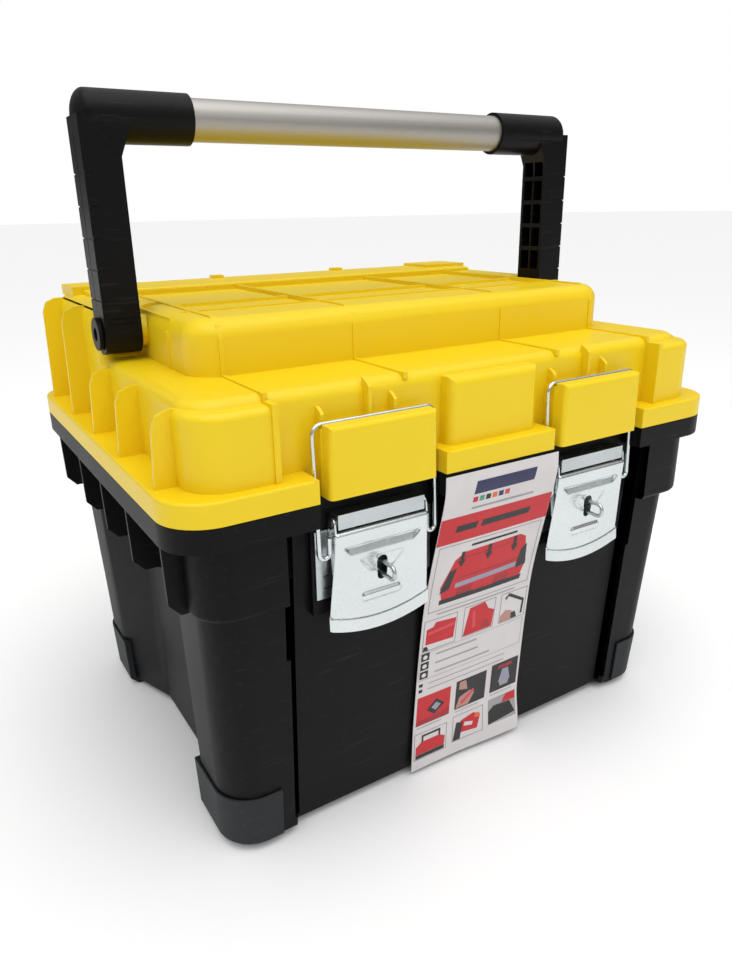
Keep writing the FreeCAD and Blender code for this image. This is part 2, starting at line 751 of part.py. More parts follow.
    bolt_bores = [rod("lid_bolt_bore", "x", (pivot_depth, pivot_height),
                      bolt_radius + running_gap, span)
                  for span in ((-arm_inner - 1, -tier_half_width + 12),
                               (tier_half_width - 12, arm_inner + 1))]
    return cut("lid", join("lid_with_bosses", hollow, *bosses, *floors), *bolt_bores, *panels)


# ---------------------------------------------------------------- hinge pins

def make_hinge_pin():
    """A steel pin through the three knuckles of the right hinge."""
    return rod("hinge_pin_right", "x", (hinge_depth, parting_height), hinge_pin_radius,
               (hinge_place - hinge_half_width, hinge_place + hinge_half_width))


# ---------------------------------------------------------------- handle

def make_handle_arm():
    """A ribbed plastic arm whose top turns inwards as a sleeve for the tube."""
    front = pivot_depth - 15
    back = pivot_depth + 13
    shaft = plate("arm_shaft", "XZ",
                  [(arm_inner, pivot_height), (arm_outer, pivot_height), (arm_outer, tube_height),
                   (arm_inner - 10, tube_height), (arm_inner, tube_height - 24)],
                  front, back)
    foot = rod("arm_foot", "x", (pivot_depth - 1, pivot_height), arm_radius, (arm_inner, arm_outer))
    sleeve = rod("arm_sleeve", "x", (pivot_depth, tube_height), sleeve_radius,
                 (sleeve_mouth, arm_outer - elbow_dome))
    elbow = document.addObject("Part::Ellipsoid", "arm_elbow")
    tie(elbow, "Radius1", sleeve_radius)
    tie(elbow, "Radius2", elbow_dome)
    tie(elbow, "Radius3", sleeve_radius)
    tie_base(elbow, arm_outer - elbow_dome, pivot_depth, tube_height)
    rungs = []
    for level in (357, 376.5, 396, 415.5, 435):
        rungs.append((level, level + 17.5))
    pockets = []
    for low, high in rungs:
        for low_y, high_y in ((front + 3, pivot_depth - 2), (pivot_depth, back - 3)):
            pockets.append(block("arm_inner_pocket", (arm_inner - 1, arm_inner + 15),
                                 (low_y, high_y), (Size(low), Size(high - 1.5))))
        pockets.append(block("arm_cross_line", (arm_outer - line_depth, arm_outer + 1),
                             (front - 1, back + 1), (Size(low - 0.9), Size(low))))
        pockets.append(block("arm_edge_tick", (arm_outer - 5, arm_outer + 1),
                             (front - 1, front + line_depth), (Size(low - 0.9), Size(low))))
    pockets.append(block("arm_centre_line", (arm_outer - line_depth, arm_outer + 1),
                         (pivot_depth - 0.4, pivot_depth + 0.5), (Size(352), Size(456))))
    for level in (341, 344.5):
        pockets.append(block("arm_hub_line", (arm_inner + 4, arm_outer - 4),
                             (front - 1, front + line_depth), (Size(level), Size(level + 0.9))))
    arm = join("arm_solid", shaft, foot, sleeve, elbow)
    tube_bore = rod("arm_tube_bore", "x", (pivot_depth, tube_height), tube_radius,
                    (sleeve_mouth - 1, arm_inner + 4))
    bolt_bore = rod("arm_bolt_bore", "x", (pivot_depth, pivot_height), bolt_radius + running_gap,
                    (arm_inner - 1, arm_outer + 1))
    return cut("handle_arm_right", arm, tube_bore, bolt_bore, *pockets)


def make_handle_tube():
    """A satin aluminium tube pushed into both sleeves."""
    ends = (-arm_inner - 4, arm_inner + 4)
    skin = rod("tube_skin", "x", (pivot_depth, tube_height), tube_radius, ends)
    bore = rod("tube_bore", "x", (pivot_depth, tube_height), tube_radius - tube_wall, ends)
    return cut("handle_tube", skin, bore)


def make_pivot_bolt():
    """A shoulder bolt through the lid's boss and the arm, with a hexagon recess."""
    shank = rod("bolt_shank", "x", (pivot_depth, pivot_height), bolt_radius,
                (tier_half_width - 13, arm_outer + 1))
    head = rod("bolt_head", "x", (pivot_depth, pivot_height), Size(11),
               (arm_outer + 0.3, arm_outer + 3.3))
    nut = rod("bolt_nut", "x", (pivot_depth, pivot_height), Size(8),
              (tier_half_width - 13, tier_half_width - 8))
    recess = rod("bolt_recess", "x", (pivot_depth, pivot_height), Size(4.5),
                 (arm_outer + 1.3, arm_outer + 4))
    return cut("pivot_bolt_right", join("bolt_solid", shank, head, nut), recess)


# ---------------------------------------------------------------- draw latches

def make_latch_plate():
    """A bent steel plate riveted to the tub, rolled round the lever's pin at its top."""
    back = in_front(latch_face)
    front = in_front(latch_face + 1.4)
    left = latch_centre - bail_half_width
    right = latch_centre + bail_half_width
    sheet_plate = block("plate_sheet", (left, right), (front, back), (Size(183), Size(229)))
    neck = block("plate_neck", (latch_centre - 31, latch_centre + 31), (front, back),
                 (Size(226), lever_pivot_height + 4.6))
    roll = rod("plate_roll", "x", (in_front(lever_pivot_depth), lever_pivot_height), Size(4.6),
               (latch_centre - 31, latch_centre + 31))
    bar = block("plate_bar", (latch_centre - 31.6, latch_centre + 31.6),
                (in_front(lever_pivot_depth + 5), back),
                (lever_pivot_height - 3.2, lever_pivot_height + 6.4))
    bore = rod("plate_bore", "x", (in_front(lever_pivot_depth), lever_pivot_height),
               lever_pin_radius + running_gap, (latch_centre - 32, latch_centre + 32))
    holes = [rod("plate_rivet_hole", "y", (latch_centre + place, Size(level)), Size(2),
                 (front - 1, back + 1))
             for place, level in RIVET_PLACES]
    staple_holes = [rod("plate_staple_hole", "y", (latch_centre, staple_height + lift), staple_wire,
                        (front - 1, back + 1)) for lift in (-4.5, 4.5)]
    return cut("latch_plate_right", join("plate_solid", sheet_plate, neck, roll, bar), bore,
               *holes, *staple_holes)


RIVET_PLACES = ((-20, 190), (20, 190), (-20, 219), (20, 219))


def make_latch_rivets():
    """Four steel rivets through the plate into the tub's pad."""
    rivets = []
    for place, level in RIVET_PLACES:
        shank = rod("rivet_shank", "y", (latch_centre + place, Size(level)), Size(2),
                    (in_front(latch_face + 1.4), in_front(latch_face)))
        head = rod("rivet_head", "y", (latch_centre + place, Size(level)), Size(3.6),
                   (in_front(latch_face + 2.8), in_front(latch_face + 1.4)))
        rivets.append(join("rivet", shank, head))
    return rivets


def make_lever():
    """A pressed steel lever with side flanges, an eye at each top corner and a padlock slot."""
    face_top = lever_pivot_height - 7
    face_bottom = Size(162)
    top_depth = Size(172)
    bottom_depth = Size(166.6)
    slope = (top_depth.value - bottom_depth.value) / (face_top.value - face_bottom.value)
    lip_bottom = Size(155)
    steps = 8
    arc = []
    for step in range(steps + 1):
        along = 2 * step / steps - 1
        arc.append((latch_centre + along * lever_bottom_half, lip_bottom + 7.5 * along * along))
    face_points = ([(latch_centre - lever_top_half, face_top)] + arc
                   + [(latch_centre + lever_top_half, face_top)])
    blank = plate("lever_blank", "XZ", face_points, Size(-180), Size(-150))
    shell_points = [(-top_depth, face_top), (-top_depth + lever_sheet, face_top),
                    (-bottom_depth + lever_sheet, face_bottom),
                    (-bottom_depth + lever_sheet - 1.5, lip_bottom),
                    (-bottom_depth - 1.5, lip_bottom), (-bottom_depth, face_bottom)]
    face = plate("lever_face", "YZ", shell_points, latch_centre - lever_bottom_half - 1,
                 latch_centre + lever_bottom_half + 1)
    pressed = document.addObject("Part::Common", "lever_pressed")
    pressed.Base = blank
    pressed.Tool = face
    slot = join("lever_slot",
                block("lever_slot_body", (latch_centre - 3.75, latch_centre + 3.75),
                      (Size(-176), Size(-160)), (Size(193), Size(202.8))),
                rod("lever_slot_top", "y", (latch_centre, Size(202.8)), Size(3.75),
                    (Size(-176), Size(-160))),
                rod("lever_slot_foot", "y", (latch_centre, Size(193)), Size(3.75),
                    (Size(-176), Size(-160))))
    pivot = (in_front(lever_pivot_depth), lever_pivot_height)
    flanges = []
    for side in (-1, 1):
        outer = latch_centre + side * lever_top_half
        inner = latch_centre + side * (lever_top_half - 1.4)
        span = (inner, outer) if side > 0 else (outer, inner)
        points = [(-top_depth + 0.2, face_top), (-top_depth + 0.2 + slope * 40, face_top - 40),
                  (-top_depth + 4, face_top - 40), (in_front(lever_pivot_depth - 1), face_top - 10),
                  (in_front(lever_pivot_depth - 4.4), lever_pivot_height),
                  (in_front(lever_pivot_depth), lever_pivot_height + 4.4),
                  (in_front(lever_pivot_depth + 4.4), lever_pivot_height)]
        flange = plate("lever_flange", "YZ", points, *span)
        eye = rod("lever_eye", "x", pivot, Size(4.4), span)
        flanges.extend((flange, eye))
    bore = rod("lever_bore", "x", pivot, lever_pin_radius + running_gap,
               (latch_centre - 40, latch_centre + 40))
    return cut("latch_lever_right", join("lever_solid", pressed, *flanges), slot, bore)


def make_lever_pin():
    """The steel pin that the lever swings on."""
    return rod("latch_pin_right", "x", (in_front(lever_pivot_depth), lever_pivot_height),
               lever_pin_radius,
               (latch_centre - lever_top_half, latch_centre + lever_top_half))


def swept_wire(name, wire, radius):
    """A round wire along a path of straight runs and tangent arcs."""
    start = wire.Vertexes[0].Point
    heading = wire.Edges[0].tangentAt(wire.Edges[0].FirstParameter)
    section = Part.Wire(Part.makeCircle(radius, start, heading))
    item = document.addObject("Part::Feature", name)
    item.Shape = wire.makePipeShell([section], True, True)
    return item


def rounded_path(corners, radii):
    """Straight runs through the corners, joined by tangent arcs of the given radii."""
    edges = []
    previous = corners[0]
    for before, corner, after, radius in zip(corners, corners[1:], corners[2:], radii):
        inward = (before - corner).normalize()
        onward = (after - corner).normalize()
        half_turn = inward.getAngle(onward) / 2
        reach = radius / math.tan(half_turn)
        first = corner + inward * reach
        last = corner + onward * reach
        bisector = (inward + onward).normalize()
        centre = corner + bisector * (radius / math.sin(half_turn))
        crown = centre - bisector * radius
        edges.append(Part.LineSegment(previous, first).toShape())
        edges.append(Part.Arc(first, crown, last).toShape())
        previous = last
    edges.append(Part.LineSegment(previous, corners[-1]).toShape())
    return Part.Wire(edges)


def make_bail():
    """The wire loop that hooks behind the lid's lug; its ends turn in beside the lever."""
    middle_x = latch_centre.value
    half = bail_half_width.value
    end = lever_top_half.value + wire_radius.value + 0.4
    bar = Vector(middle_x, -bar_depth.value, bar_height.value)
    low_depth = -lever_pivot_depth.value - 1.4
    low = 213.0
    hook = 226.0
    bend = (half - end) / 2 - 0.01

    def place(offset, depth, height):
        return Vector(middle_x + offset, depth, height)

    corners = [place(-end, low_depth, hook), place(-end, low_depth, low),
               place(-half, low_depth, low), place(-half, bar.y, bar.z),
               place(half, bar.y, bar.z), place(half, low_depth, low),
               place(end, low_depth, low), place(end, low_depth, hook)]
    return swept_wire("latch_bail_right", rounded_path(corners, (bend, bend, 6, 6, bend, bend)),
                      wire_radius.value)


def make_staple():
    """The padlock loop that stands through the lever's slot."""
    middle_x = latch_centre.value
    centre = staple_height.value
    back = -latch_face.value
    reach = back - 18.7
    corners = [Vector(middle_x, back, centre + 4.5), Vector(middle_x, reach - 4.5, centre + 4.5),
               Vector(middle_x, reach - 4.5, centre - 4.5), Vector(middle_x, back, centre - 4.5)]
    return swept_wire("padlock_staple_right", rounded_path(corners, (4.4, 4.4)),
                      staple_wire.value)


# ---------------------------------------------------------------- tray

def make_tray():
    """An open moulded tray on the tub's two ledges, with sockets for its carry handle."""
    shell = plate("tray_shell", "XY", rectangle(tray_half_width, tray_half_depth, tray_half_depth),
                  tray_base, tray_base + tray_height)
    soften(shell, "tray_shell_corners", Size(14), upright_corner(150, 130))
    soften(shell, "tray_shell_foot", Size(4), lambda edge: edge.BoundBox.ZMax < tray_base.value + 0.1)
    hollow = plate("tray_hollow", "XY",
                   rectangle(tray_half_width - tray_wall, tray_half_depth - tray_wall,
                             tray_half_depth - tray_wall),
                   tray_base + tray_wall, tray_base + tray_height + 1)
    soften(hollow, "tray_hollow_corners", Size(11.5), upright_corner(150, 130))
    slots = []
    for x_side in (-1, 1):
        for y_side in (-1, 1):
            slots.append(block("tray_divider_rail",
                               (x_side * Size(60) - 3.6, x_side * Size(60) + 3.6),
                               (y_side * tray_half_depth - (y_side + 1) / 2 * 5,
                                y_side * tray_half_depth - (y_side - 1) / 2 * 5),
                               (tray_base + 1, tray_base + tray_height - 8)))
    blank = join("tray_blank", cut("tray_open", shell, hollow), *slots)
    divider_slots = [block("tray_divider_slot",
                           (x_side * Size(60) - 1.1, x_side * Size(60) + 1.1),
                           (in_front(tray_half_depth - tray_wall), tray_half_depth - tray_wall),
                           (tray_base + tray_wall, tray_base + tray_height))
                     for x_side in (-1, 1)]
    pivots = [rod("tray_pivot_hole", "x", (Size(0), tray_base + tray_height - 8),
                  Size(3) + running_gap, span)
              for span in ((-tray_half_width - 1, -tray_half_width + 10),
                           (tray_half_width - 10, tray_half_width + 1))]
    return cut("tray", blank, *divider_slots, *pivots)


def make_tray_divider(side, name):
    """A loose plate that drops into a pair of rails."""
    centre = side * Size(60)
    return block(name, (centre - 1, centre + 1),
                 (in_front(tray_half_depth - tray_wall - 0.2), tray_half_depth - tray_wall - 0.2),
                 (tray_base + tray_wall, tray_base + tray_height - 14))


def make_tray_handle():
    """A flat folding handle, pinned to the tray's two ends."""
    level = tray_base + tray_height - 8
    arms = []
    for side in (-1, 1):
        inner = side * (tray_half_width - tray_wall - 7)
        outer = side * (tray_half_width - tray_wall - 0.5)
        span = (inner, outer) if side > 0 else (outer, inner)
        arms.append(block("tray_handle_arm", span, (in_front(tray_handle_reach), Size(5)),
                          (level - 3.5, level + 3.5)))
        tip = side * (tray_half_width - 0.2)
        pin_span = (inner, tip) if side > 0 else (tip, inner)
        arms.append(rod("tray_handle_pin", "x", (Size(0), level), Size(3), pin_span))
    bar = rod("tray_handle_bar", "x", (in_front(tray_handle_reach), level), tray_handle_radius,
              (-tray_half_width + tray_wall + 0.5, tray_half_width - tray_wall - 0.5))
    return join("tray_handle", bar, *arms)


# ---------------------------------------------------------------- label card

def make_card():
    """A printed card tucked under the lid's rim, falling back on to the front panel."""
    heights = (250.5, 237, 215, 185, 150, 110, 70, 35, 4)
    depths = (175.9, 175.9, 171.5, 164.5, 157.6, 153.4, 150.6, 148.6, 147.0)
    front = [(in_front(Size(depth) + card_thickness), Size(height))
             for depth, height in zip(depths, heights)]
    back = [(in_front(Size(depth)), Size(height)) for depth, height in zip(depths, heights)]
    return plate("label_card", "YZ", front + back[::-1], -card_half_width, card_half_width - 1)


# ---------------------------------------------------------------- assembly

tub = make_tub()
foot = make_foot(document.getObject("tub_outer"))
lid = make_lid()
arm = make_handle_arm()
pivot_bolt = make_pivot_bolt()
hinge_pin = make_hinge_pin()
latch_plate = make_latch_plate()
rivets = make_latch_rivets()
lever = make_lever()
lever_pin = make_lever_pin()
bail = make_bail()
staple = make_staple()

nodes = {
    "tub": tub,
    "lid": lid,
    "handle_tube": make_handle_tube(),
    "tray": make_tray(),
    "tray_divider_left": make_tray_divider(-1, "tray_divider_left"),
    "tray_divider_right": make_tray_divider(1, "tray_divider_right"),
    "tray_handle": make_tray_handle(),
    "label_card": make_card(),
}
paired = {
    "handle_arm": arm,
    "pivot_bolt": pivot_bolt,
    "hinge_pin": hinge_pin,
    "latch_plate": latch_plate,
    "latch_lever": lever,
    "latch_pin": lever_pin,
    "latch_bail": bail,
    "padlock_staple": staple,
}
for stem, item in paired.items():
    nodes[f"{stem}_right"] = item
    nodes[f"{stem}_left"] = mirrored(f"{stem}_left", item)

rivet_set = rivets + [mirrored("rivet_left", rivet) for rivet in rivets]
latch_rivets = document.addObject("Part::Compound", "latch_rivets")
latch_rivets.Links = rivet_set
nodes["latch_rivets"] = latch_rivets

nodes["foot_front_right"] = foot
nodes["foot_front_left"] = mirrored("foot_front_left", foot)
nodes["foot_rear_right"] = mirrored("foot_rear_right", foot, (0, 1, 0))
nodes["foot_rear_left"] = mirrored("foot_rear_left", nodes["foot_rear_right"])

document.recompute()

for item in document.Objects:
    if "Invalid" in item.State or "Error" in item.State:
        raise RuntimeError(f"{item.Name} did not build: {item.State}")

os.makedirs("parts", exist_ok=True)
for name, item in nodes.items():
    item.Label = name
    shape = item.Shape
    if shape.isNull() or not shape.isValid() or not shape.Solids:
        raise RuntimeError(f"{name} has no valid solid")
    shape.exportStep(f"parts/{name}.step")
    box = shape.BoundBox
    print(f"{name:20s} solids {len(shape.Solids)} volume {shape.Volume / 1000:9.2f} cm3"
          f"  x {box.XMin:7.1f} {box.XMax:7.1f}  y {box.YMin:7.1f} {box.YMax:7.1f}"
          f"  z {box.ZMin:6.1f} {box.ZMax:6.1f}")
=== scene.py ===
import math

import bmesh
import bpy
from mathutils import Matrix, Vector


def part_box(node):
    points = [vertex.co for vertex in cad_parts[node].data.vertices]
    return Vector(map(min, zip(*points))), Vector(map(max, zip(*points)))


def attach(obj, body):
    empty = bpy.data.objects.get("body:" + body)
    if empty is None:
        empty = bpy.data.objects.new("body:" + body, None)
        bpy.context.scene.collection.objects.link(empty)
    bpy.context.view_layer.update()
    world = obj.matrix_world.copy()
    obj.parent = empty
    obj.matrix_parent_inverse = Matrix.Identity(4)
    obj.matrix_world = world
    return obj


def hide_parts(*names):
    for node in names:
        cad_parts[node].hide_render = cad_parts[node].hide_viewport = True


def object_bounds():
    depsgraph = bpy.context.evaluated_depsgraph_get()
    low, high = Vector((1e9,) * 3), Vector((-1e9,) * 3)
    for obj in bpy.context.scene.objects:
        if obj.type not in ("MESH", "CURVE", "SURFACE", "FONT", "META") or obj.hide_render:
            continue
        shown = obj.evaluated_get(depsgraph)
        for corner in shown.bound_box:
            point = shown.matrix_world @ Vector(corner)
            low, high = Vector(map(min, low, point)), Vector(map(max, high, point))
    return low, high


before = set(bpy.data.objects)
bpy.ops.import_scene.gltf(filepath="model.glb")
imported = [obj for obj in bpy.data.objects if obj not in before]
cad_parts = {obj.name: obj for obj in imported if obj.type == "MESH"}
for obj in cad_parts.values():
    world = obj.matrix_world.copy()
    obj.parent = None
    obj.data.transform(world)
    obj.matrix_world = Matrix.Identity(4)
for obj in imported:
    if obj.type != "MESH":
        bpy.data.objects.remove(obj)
cad_low, cad_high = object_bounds()

# ------------------------------------------------------------------------------------------
# Tub.  One thick-walled injection moulding in black polypropylene: corner posts, waisted sides,
# a hollow rim band and the ribs that carry it.  Edges are rounded as the mould leaves them.
# ------------------------------------------------------------------------------------------


def linear(hex_colour):
    """An sRGB hex colour as the linear RGBA that shaders read."""
    channels = [int(hex_colour[start:start + 2], 16) / 255 for start in (1, 3, 5)]
    return tuple(c / 12.92 if c <= 0.04045 else ((c + 0.055) / 1.055) ** 2.4
                 for c in channels) + (1.0,)


def add_node(tree, kind, inputs=(), **settings):
    """A node with its settings, and its inputs either set or linked."""
    made = tree.nodes.new(kind)
    for name, value in settings.items():
        setattr(made, name, value)
    for name, value in dict(inputs).items():
        if isinstance(value, bpy.types.NodeSocket):
            tree.links.new(value, made.inputs[name])
        else:
            made.inputs[name].default_value = value
    return made


def new_material(name):
    """An empty node material and its Principled shader."""
    material = bpy.data.materials.new(name)
    material.use_nodes = True
    tree = material.node_tree
    return material, tree, tree.nodes["Principled BSDF"]


def moulded_plastic(name, colour, shade, roughness, grain_mm, grain_depth, marks, dust, sheen):
    """Injection-moulded polypropylene: spark-eroded grain, faint sink waves, scuffs and dust."""
    material, tree, shader = new_material(name)
    place = add_node(tree, "ShaderNodeTexCoord").outputs["Object"]
    sink = add_node(tree, "ShaderNodeTexNoise",
                    {"Vector": place, "Scale": 9.0, "Detail": 3.0}).outputs["Fac"]
    grain = add_node(tree, "ShaderNodeTexNoise",
                     {"Vector": place, "Scale": 1000 / grain_mm, "Detail": 2.0}).outputs["Fac"]
    stretched = add_node(tree, "ShaderNodeMapping",
                         {"Vector": place, "Rotation": (0.4, 0.9, 0.6),
                          "Scale": (1.0, 16.0, 16.0)}).outputs["Vector"]
    scuff = add_node(tree, "ShaderNodeTexNoise",
                     {"Vector": stretched, "Scale": 26.0, "Detail": 6.0}).outputs["Fac"]
    scuffs = add_node(tree, "ShaderNodeMapRange",
                      {"Value": scuff, "From Min": 0.60, "From Max": 0.78,
                       "To Max": marks}).outputs["Result"]
    speck = add_node(tree, "ShaderNodeTexNoise",
                     {"Vector": place, "Scale": 260.0, "Detail": 4.0}).outputs["Fac"]
    specks = add_node(tree, "ShaderNodeMapRange",
                      {"Value": speck, "From Min": 0.62, "From Max": 0.74,
                       "To Max": dust}).outputs["Result"]
    tone = add_node(tree, "ShaderNodeMix",
                    {"Factor": sink, "A": linear(colour), "B": linear(shade)},
                    data_type="RGBA")
    pale = add_node(tree, "ShaderNodeMath", {0: scuffs, 1: specks}, operation="MAXIMUM")
    worn = add_node(tree, "ShaderNodeMix",
                    {"Factor": pale.outputs[0], "A": tone.outputs["Result"],
                     "B": linear("#8C8A86")}, data_type="RGBA")
    tree.links.new(worn.outputs["Result"], shader.inputs["Base Color"])
    base_rough = add_node(tree, "ShaderNodeMapRange",
                          {"Value": sink, "To Min": roughness - 0.05,
                           "To Max": roughness + 0.06}).outputs["Result"]
    rough = add_node(tree, "ShaderNodeMath", {0: scuffs, 1: 0.6, 2: base_rough},
                     operation="MULTIPLY_ADD")
    tree.links.new(rough.outputs[0], shader.inputs["Roughness"])
    waves = add_node(tree, "ShaderNodeBump",
                     {"Height": sink, "Strength": 0.25, "Distance": 0.0012})
    texture = add_node(tree, "ShaderNodeBump",
                       {"Height": grain, "Strength": 0.35, "Distance": grain_depth,
                        "Normal": waves.outputs["Normal"]})
    tree.links.new(texture.outputs["Normal"], shader.inputs["Normal"])
    shader.inputs["IOR"].default_value = 1.49
    shader.inputs["Specular IOR Level"].default_value = sheen
    return material


def mesh_object(name, mesh):
    made = bpy.data.objects.new(name, mesh)
    bpy.context.scene.collection.objects.link(made)
    return made


def smooth_by_angle(mesh, degrees):
    """Smooth faces, with the edges sharper than the angle kept crisp."""
    mesh.shade_smooth()
    mesh.set_sharp_from_angle(angle=math.radians(degrees))


def frozen(piece):
    """The piece with its modifiers turned into plain mesh."""
    evaluated = piece.evaluated_get(bpy.context.evaluated_depsgraph_get())
    mesh = bpy.data.meshes.new_from_object(evaluated)
    piece.modifiers.clear()
    piece.data = mesh
    return piece


def even_normals(piece, degrees):
    """Smooth shading that leaves the large flat faces flat."""
    smooth_by_angle(piece.data, degrees)
    weighted = piece.modifiers.new("normals", "WEIGHTED_NORMAL")
    weighted.keep_sharp = True
    weighted.weight = 60
    frozen(piece)


def softened(node, name, edge_mm, material, segments=3, smooth=40):
    """A CAD part's own shape with its edges rounded, as moulding or pressing leaves them."""
    flat_within, corner_over = math.radians(0.6), math.radians(32)
    shape = bmesh.new()
    shape.from_mesh(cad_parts[node].data)
    bmesh.ops.remove_doubles(shape, verts=shape.verts, dist=1e-6)
    bmesh.ops.dissolve_limit(shape, angle_limit=flat_within, verts=shape.verts,
                             edges=shape.edges)
    mesh = bpy.data.meshes.new(name)
    shape.to_mesh(mesh)
    shape.free()
    mesh.materials.clear()
    mesh.materials.append(material)
    for face in mesh.polygons:
        face.material_index = 0
    piece = mesh_object(name, mesh)
    bevel = piece.modifiers.new("edges", "BEVEL")
    bevel.width = edge_mm / 1000
    bevel.segments = segments
    bevel.limit_method = "ANGLE"
    bevel.angle_limit = corner_over
    bevel.use_clamp_overlap = True
    bevel.miter_outer = "MITER_ARC"
    frozen(piece)
    even_normals(piece, smooth)
    return piece


def fit(piece, body, slot, *nodes):
    """The piece rides on its body and stands for its CAD nodes."""
    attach(piece, body)
    if nodes:
        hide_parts(*nodes)
    return piece


def extruded(name, outline, axis, low, high, material):
    """A flat outline in mm, in the plane across the axis, drawn out between two levels."""
    shape = bmesh.new()
    loops = []
    for level in (low, high):
        ring = []
        for u, v in outline:
            place = [u, v]
            place.insert(axis, level)
            ring.append(shape.verts.new(Vector(place) / 1000))
        loops.append(ring)
    shape.faces.new(loops[0])
    shape.faces.new(loops[1])
    count = len(outline)
    for corner in range(count):
        after = (corner + 1) % count
        shape.faces.new((loops[0][corner], loops[0][after], loops[1][after], loops[1][corner]))
    bmesh.ops.recalc_face_normals(shape, faces=shape.faces)
    mesh = bpy.data.meshes.new(name)
    shape.to_mesh(mesh)
    shape.free()
    mesh.materials.append(material)
    return mesh_object(name, mesh)


def cut_out(piece, tool):
    """Take the tool's volume out of the piece."""
    cutter = piece.modifiers.new("cut", "BOOLEAN")
    cutter.operation = "DIFFERENCE"
    cutter.solver = "EXACT"
    cutter.object = tool
    frozen(piece)
    bpy.data.objects.remove(tool)
    return piece


black_plastic = moulded_plastic("black_polypropylene_spark_grain", "#0B0B0D", "#08080A",
                                roughness=0.46, grain_mm=0.9, grain_depth=0.00006,
                                marks=0.05, dust=0.02, sheen=0.14)
tub = softened("tub", "tub_shell", edge_mm=0.9, material=black_plastic, segments=2)

# A narrow draft groove parts each post from its panel and opens out below the rim.  Each run is
# its near and far X and its low and high Z in mm; its floor leans out with the panel.
groove_runs = ((150.4, 154.6, 14, 146.2), (148.4, 157.4, 146, 235))
groove_floor, groove_foot, groove_lean, groove_mouth = 143.6, 14, 0.0571, 175
for x_side in (-1, 1):
    for y_side in (-1, 1):
        for near, far, low, high in groove_runs:
            floor_low = groove_floor + (low - groove_foot) * groove_lean
            floor_high = groove_floor + (high - groove_foot) * groove_lean
            wedge = [(y_side * floor_low, low), (y_side * groove_mouth, low),
                     (y_side * groove_mouth, high), (y_side * floor_high, high)]
            span = sorted((x_side * near, x_side * far))
            tub = cut_out(tub, extruded("groove_tool", wedge, 0, *span, black_plastic))
even_normals(tub, 40)
fit(tub, "base", "black_polypropylene", "tub")

# ------------------------------------------------------------------------------------------
# Corner feet.  Slate grey caps in a tougher, matter polypropylene, pushed on to the posts.
# ------------------------------------------------------------------------------------------

slate_plastic = moulded_plastic("slate_polypropylene_matt_grain", "#24282A", "#1C2022",
                                roughness=0.55, grain_mm=0.8, grain_depth=0.00008,
                                marks=0.10, dust=0.06, sheen=0.25)
for corner in ("front_left", "front_right", "rear_left", "rear_right"):
    foot = softened(f"foot_{corner}", f"foot_cap_{corner}", edge_mm=0.8,
                    material=slate_plastic)
    fit(foot, "base", "slate_polypropylene", f"foot_{corner}")

# ------------------------------------------------------------------------------------------
# Lid.  A yellow polypropylene moulding: rim band, latch lugs, corner blocks and a raised tier.
# Its edges and corners carry the mould's rounding.
# ------------------------------------------------------------------------------------------

yellow_plastic = moulded_plastic("yellow_polypropylene_satin", "#F1D21A", "#EBC90F",
                                 roughness=0.38, grain_mm=0.8, grain_depth=0.00004,
                                 marks=0.03, dust=0.0, sheen=0.35)
lid = softened("lid", "lid_shell", edge_mm=1.5, material=yellow_plastic)
fit(lid, "lid", "yellow_polypropylene", "lid")

# ------------------------------------------------------------------------------------------
# Handle tube.  Drawn aluminium tube in satin anodise, cut square and held in the arms' sleeves
# at both ends.
# ------------------------------------------------------------------------------------------


def satin_aluminium():
    """Drawn and anodised tube: fine lines along its length and a soft, even sheen."""
    material, tree, shader = new_material("satin_anodised_aluminium")
    place = add_node(tree, "ShaderNodeTexCoord").outputs["Object"]
    along = add_node(tree, "ShaderNodeMapping",
                     {"Vector": place, "Scale": (4.0, 900.0, 900.0)}).outputs["Vector"]
    lines = add_node(tree, "ShaderNodeTexNoise",
                     {"Vector": along, "Scale": 1.0, "Detail": 3.0}).outputs["Fac"]
    tone = add_node(tree, "ShaderNodeMix",
                    {"Factor": lines, "A": linear("#A19E99"), "B": linear("#B4B1AC")},
                    data_type="RGBA")
    tree.links.new(tone.outputs["Result"], shader.inputs["Base Color"])
    rough = add_node(tree, "ShaderNodeMapRange",
                     {"Value": lines, "To Min": 0.42, "To Max": 0.58}).outputs["Result"]
    tree.links.new(rough, shader.inputs["Roughness"])
    bump = add_node(tree, "ShaderNodeBump",
                    {"Height": lines, "Strength": 0.2, "Distance": 0.00005})
    tree.links.new(bump.outputs["Normal"], shader.inputs["Normal"])
    shader.inputs["Metallic"].default_value = 1.0
    return material


tube = softened("handle_tube", "handle_tube_skin", edge_mm=0.3, material=satin_aluminium())
fit(tube, "handle", "satin_aluminium", "handle_tube")

# ------------------------------------------------------------------------------------------
# Handle arms.  Ribbed black nylon mouldings with a domed elbow and a sleeve for the tube; each
# turns on a shoulder bolt in the side of the lid.
# ------------------------------------------------------------------------------------------

arm_plastic = moulded_plastic("black_nylon_satin", "#0B0B0D", "#08080A",
                              roughness=0.38, grain_mm=0.7, grain_depth=0.00004,
                              marks=0.06, dust=0.02, sheen=0.14)
for side in ("left", "right"):
    arm = softened(f"handle_arm_{side}", f"arm_{side}", edge_mm=0.9, material=arm_plastic)
    fit(arm, "handle", "black_nylon", f"handle_arm_{side}")

# ------------------------------------------------------------------------------------------
# Pivot bolts.  Black oxide shoulder bolts through the arms' hubs into the lid, in the same satin
# black as the arms.
# ------------------------------------------------------------------------------------------

for side in ("left", "right"):
    bolt = softened(f"pivot_bolt_{side}", f"bolt_{side}", edge_mm=0.4, material=arm_plastic)
    fit(bolt, "lid", "black_oxide_steel", f"pivot_bolt_{side}")

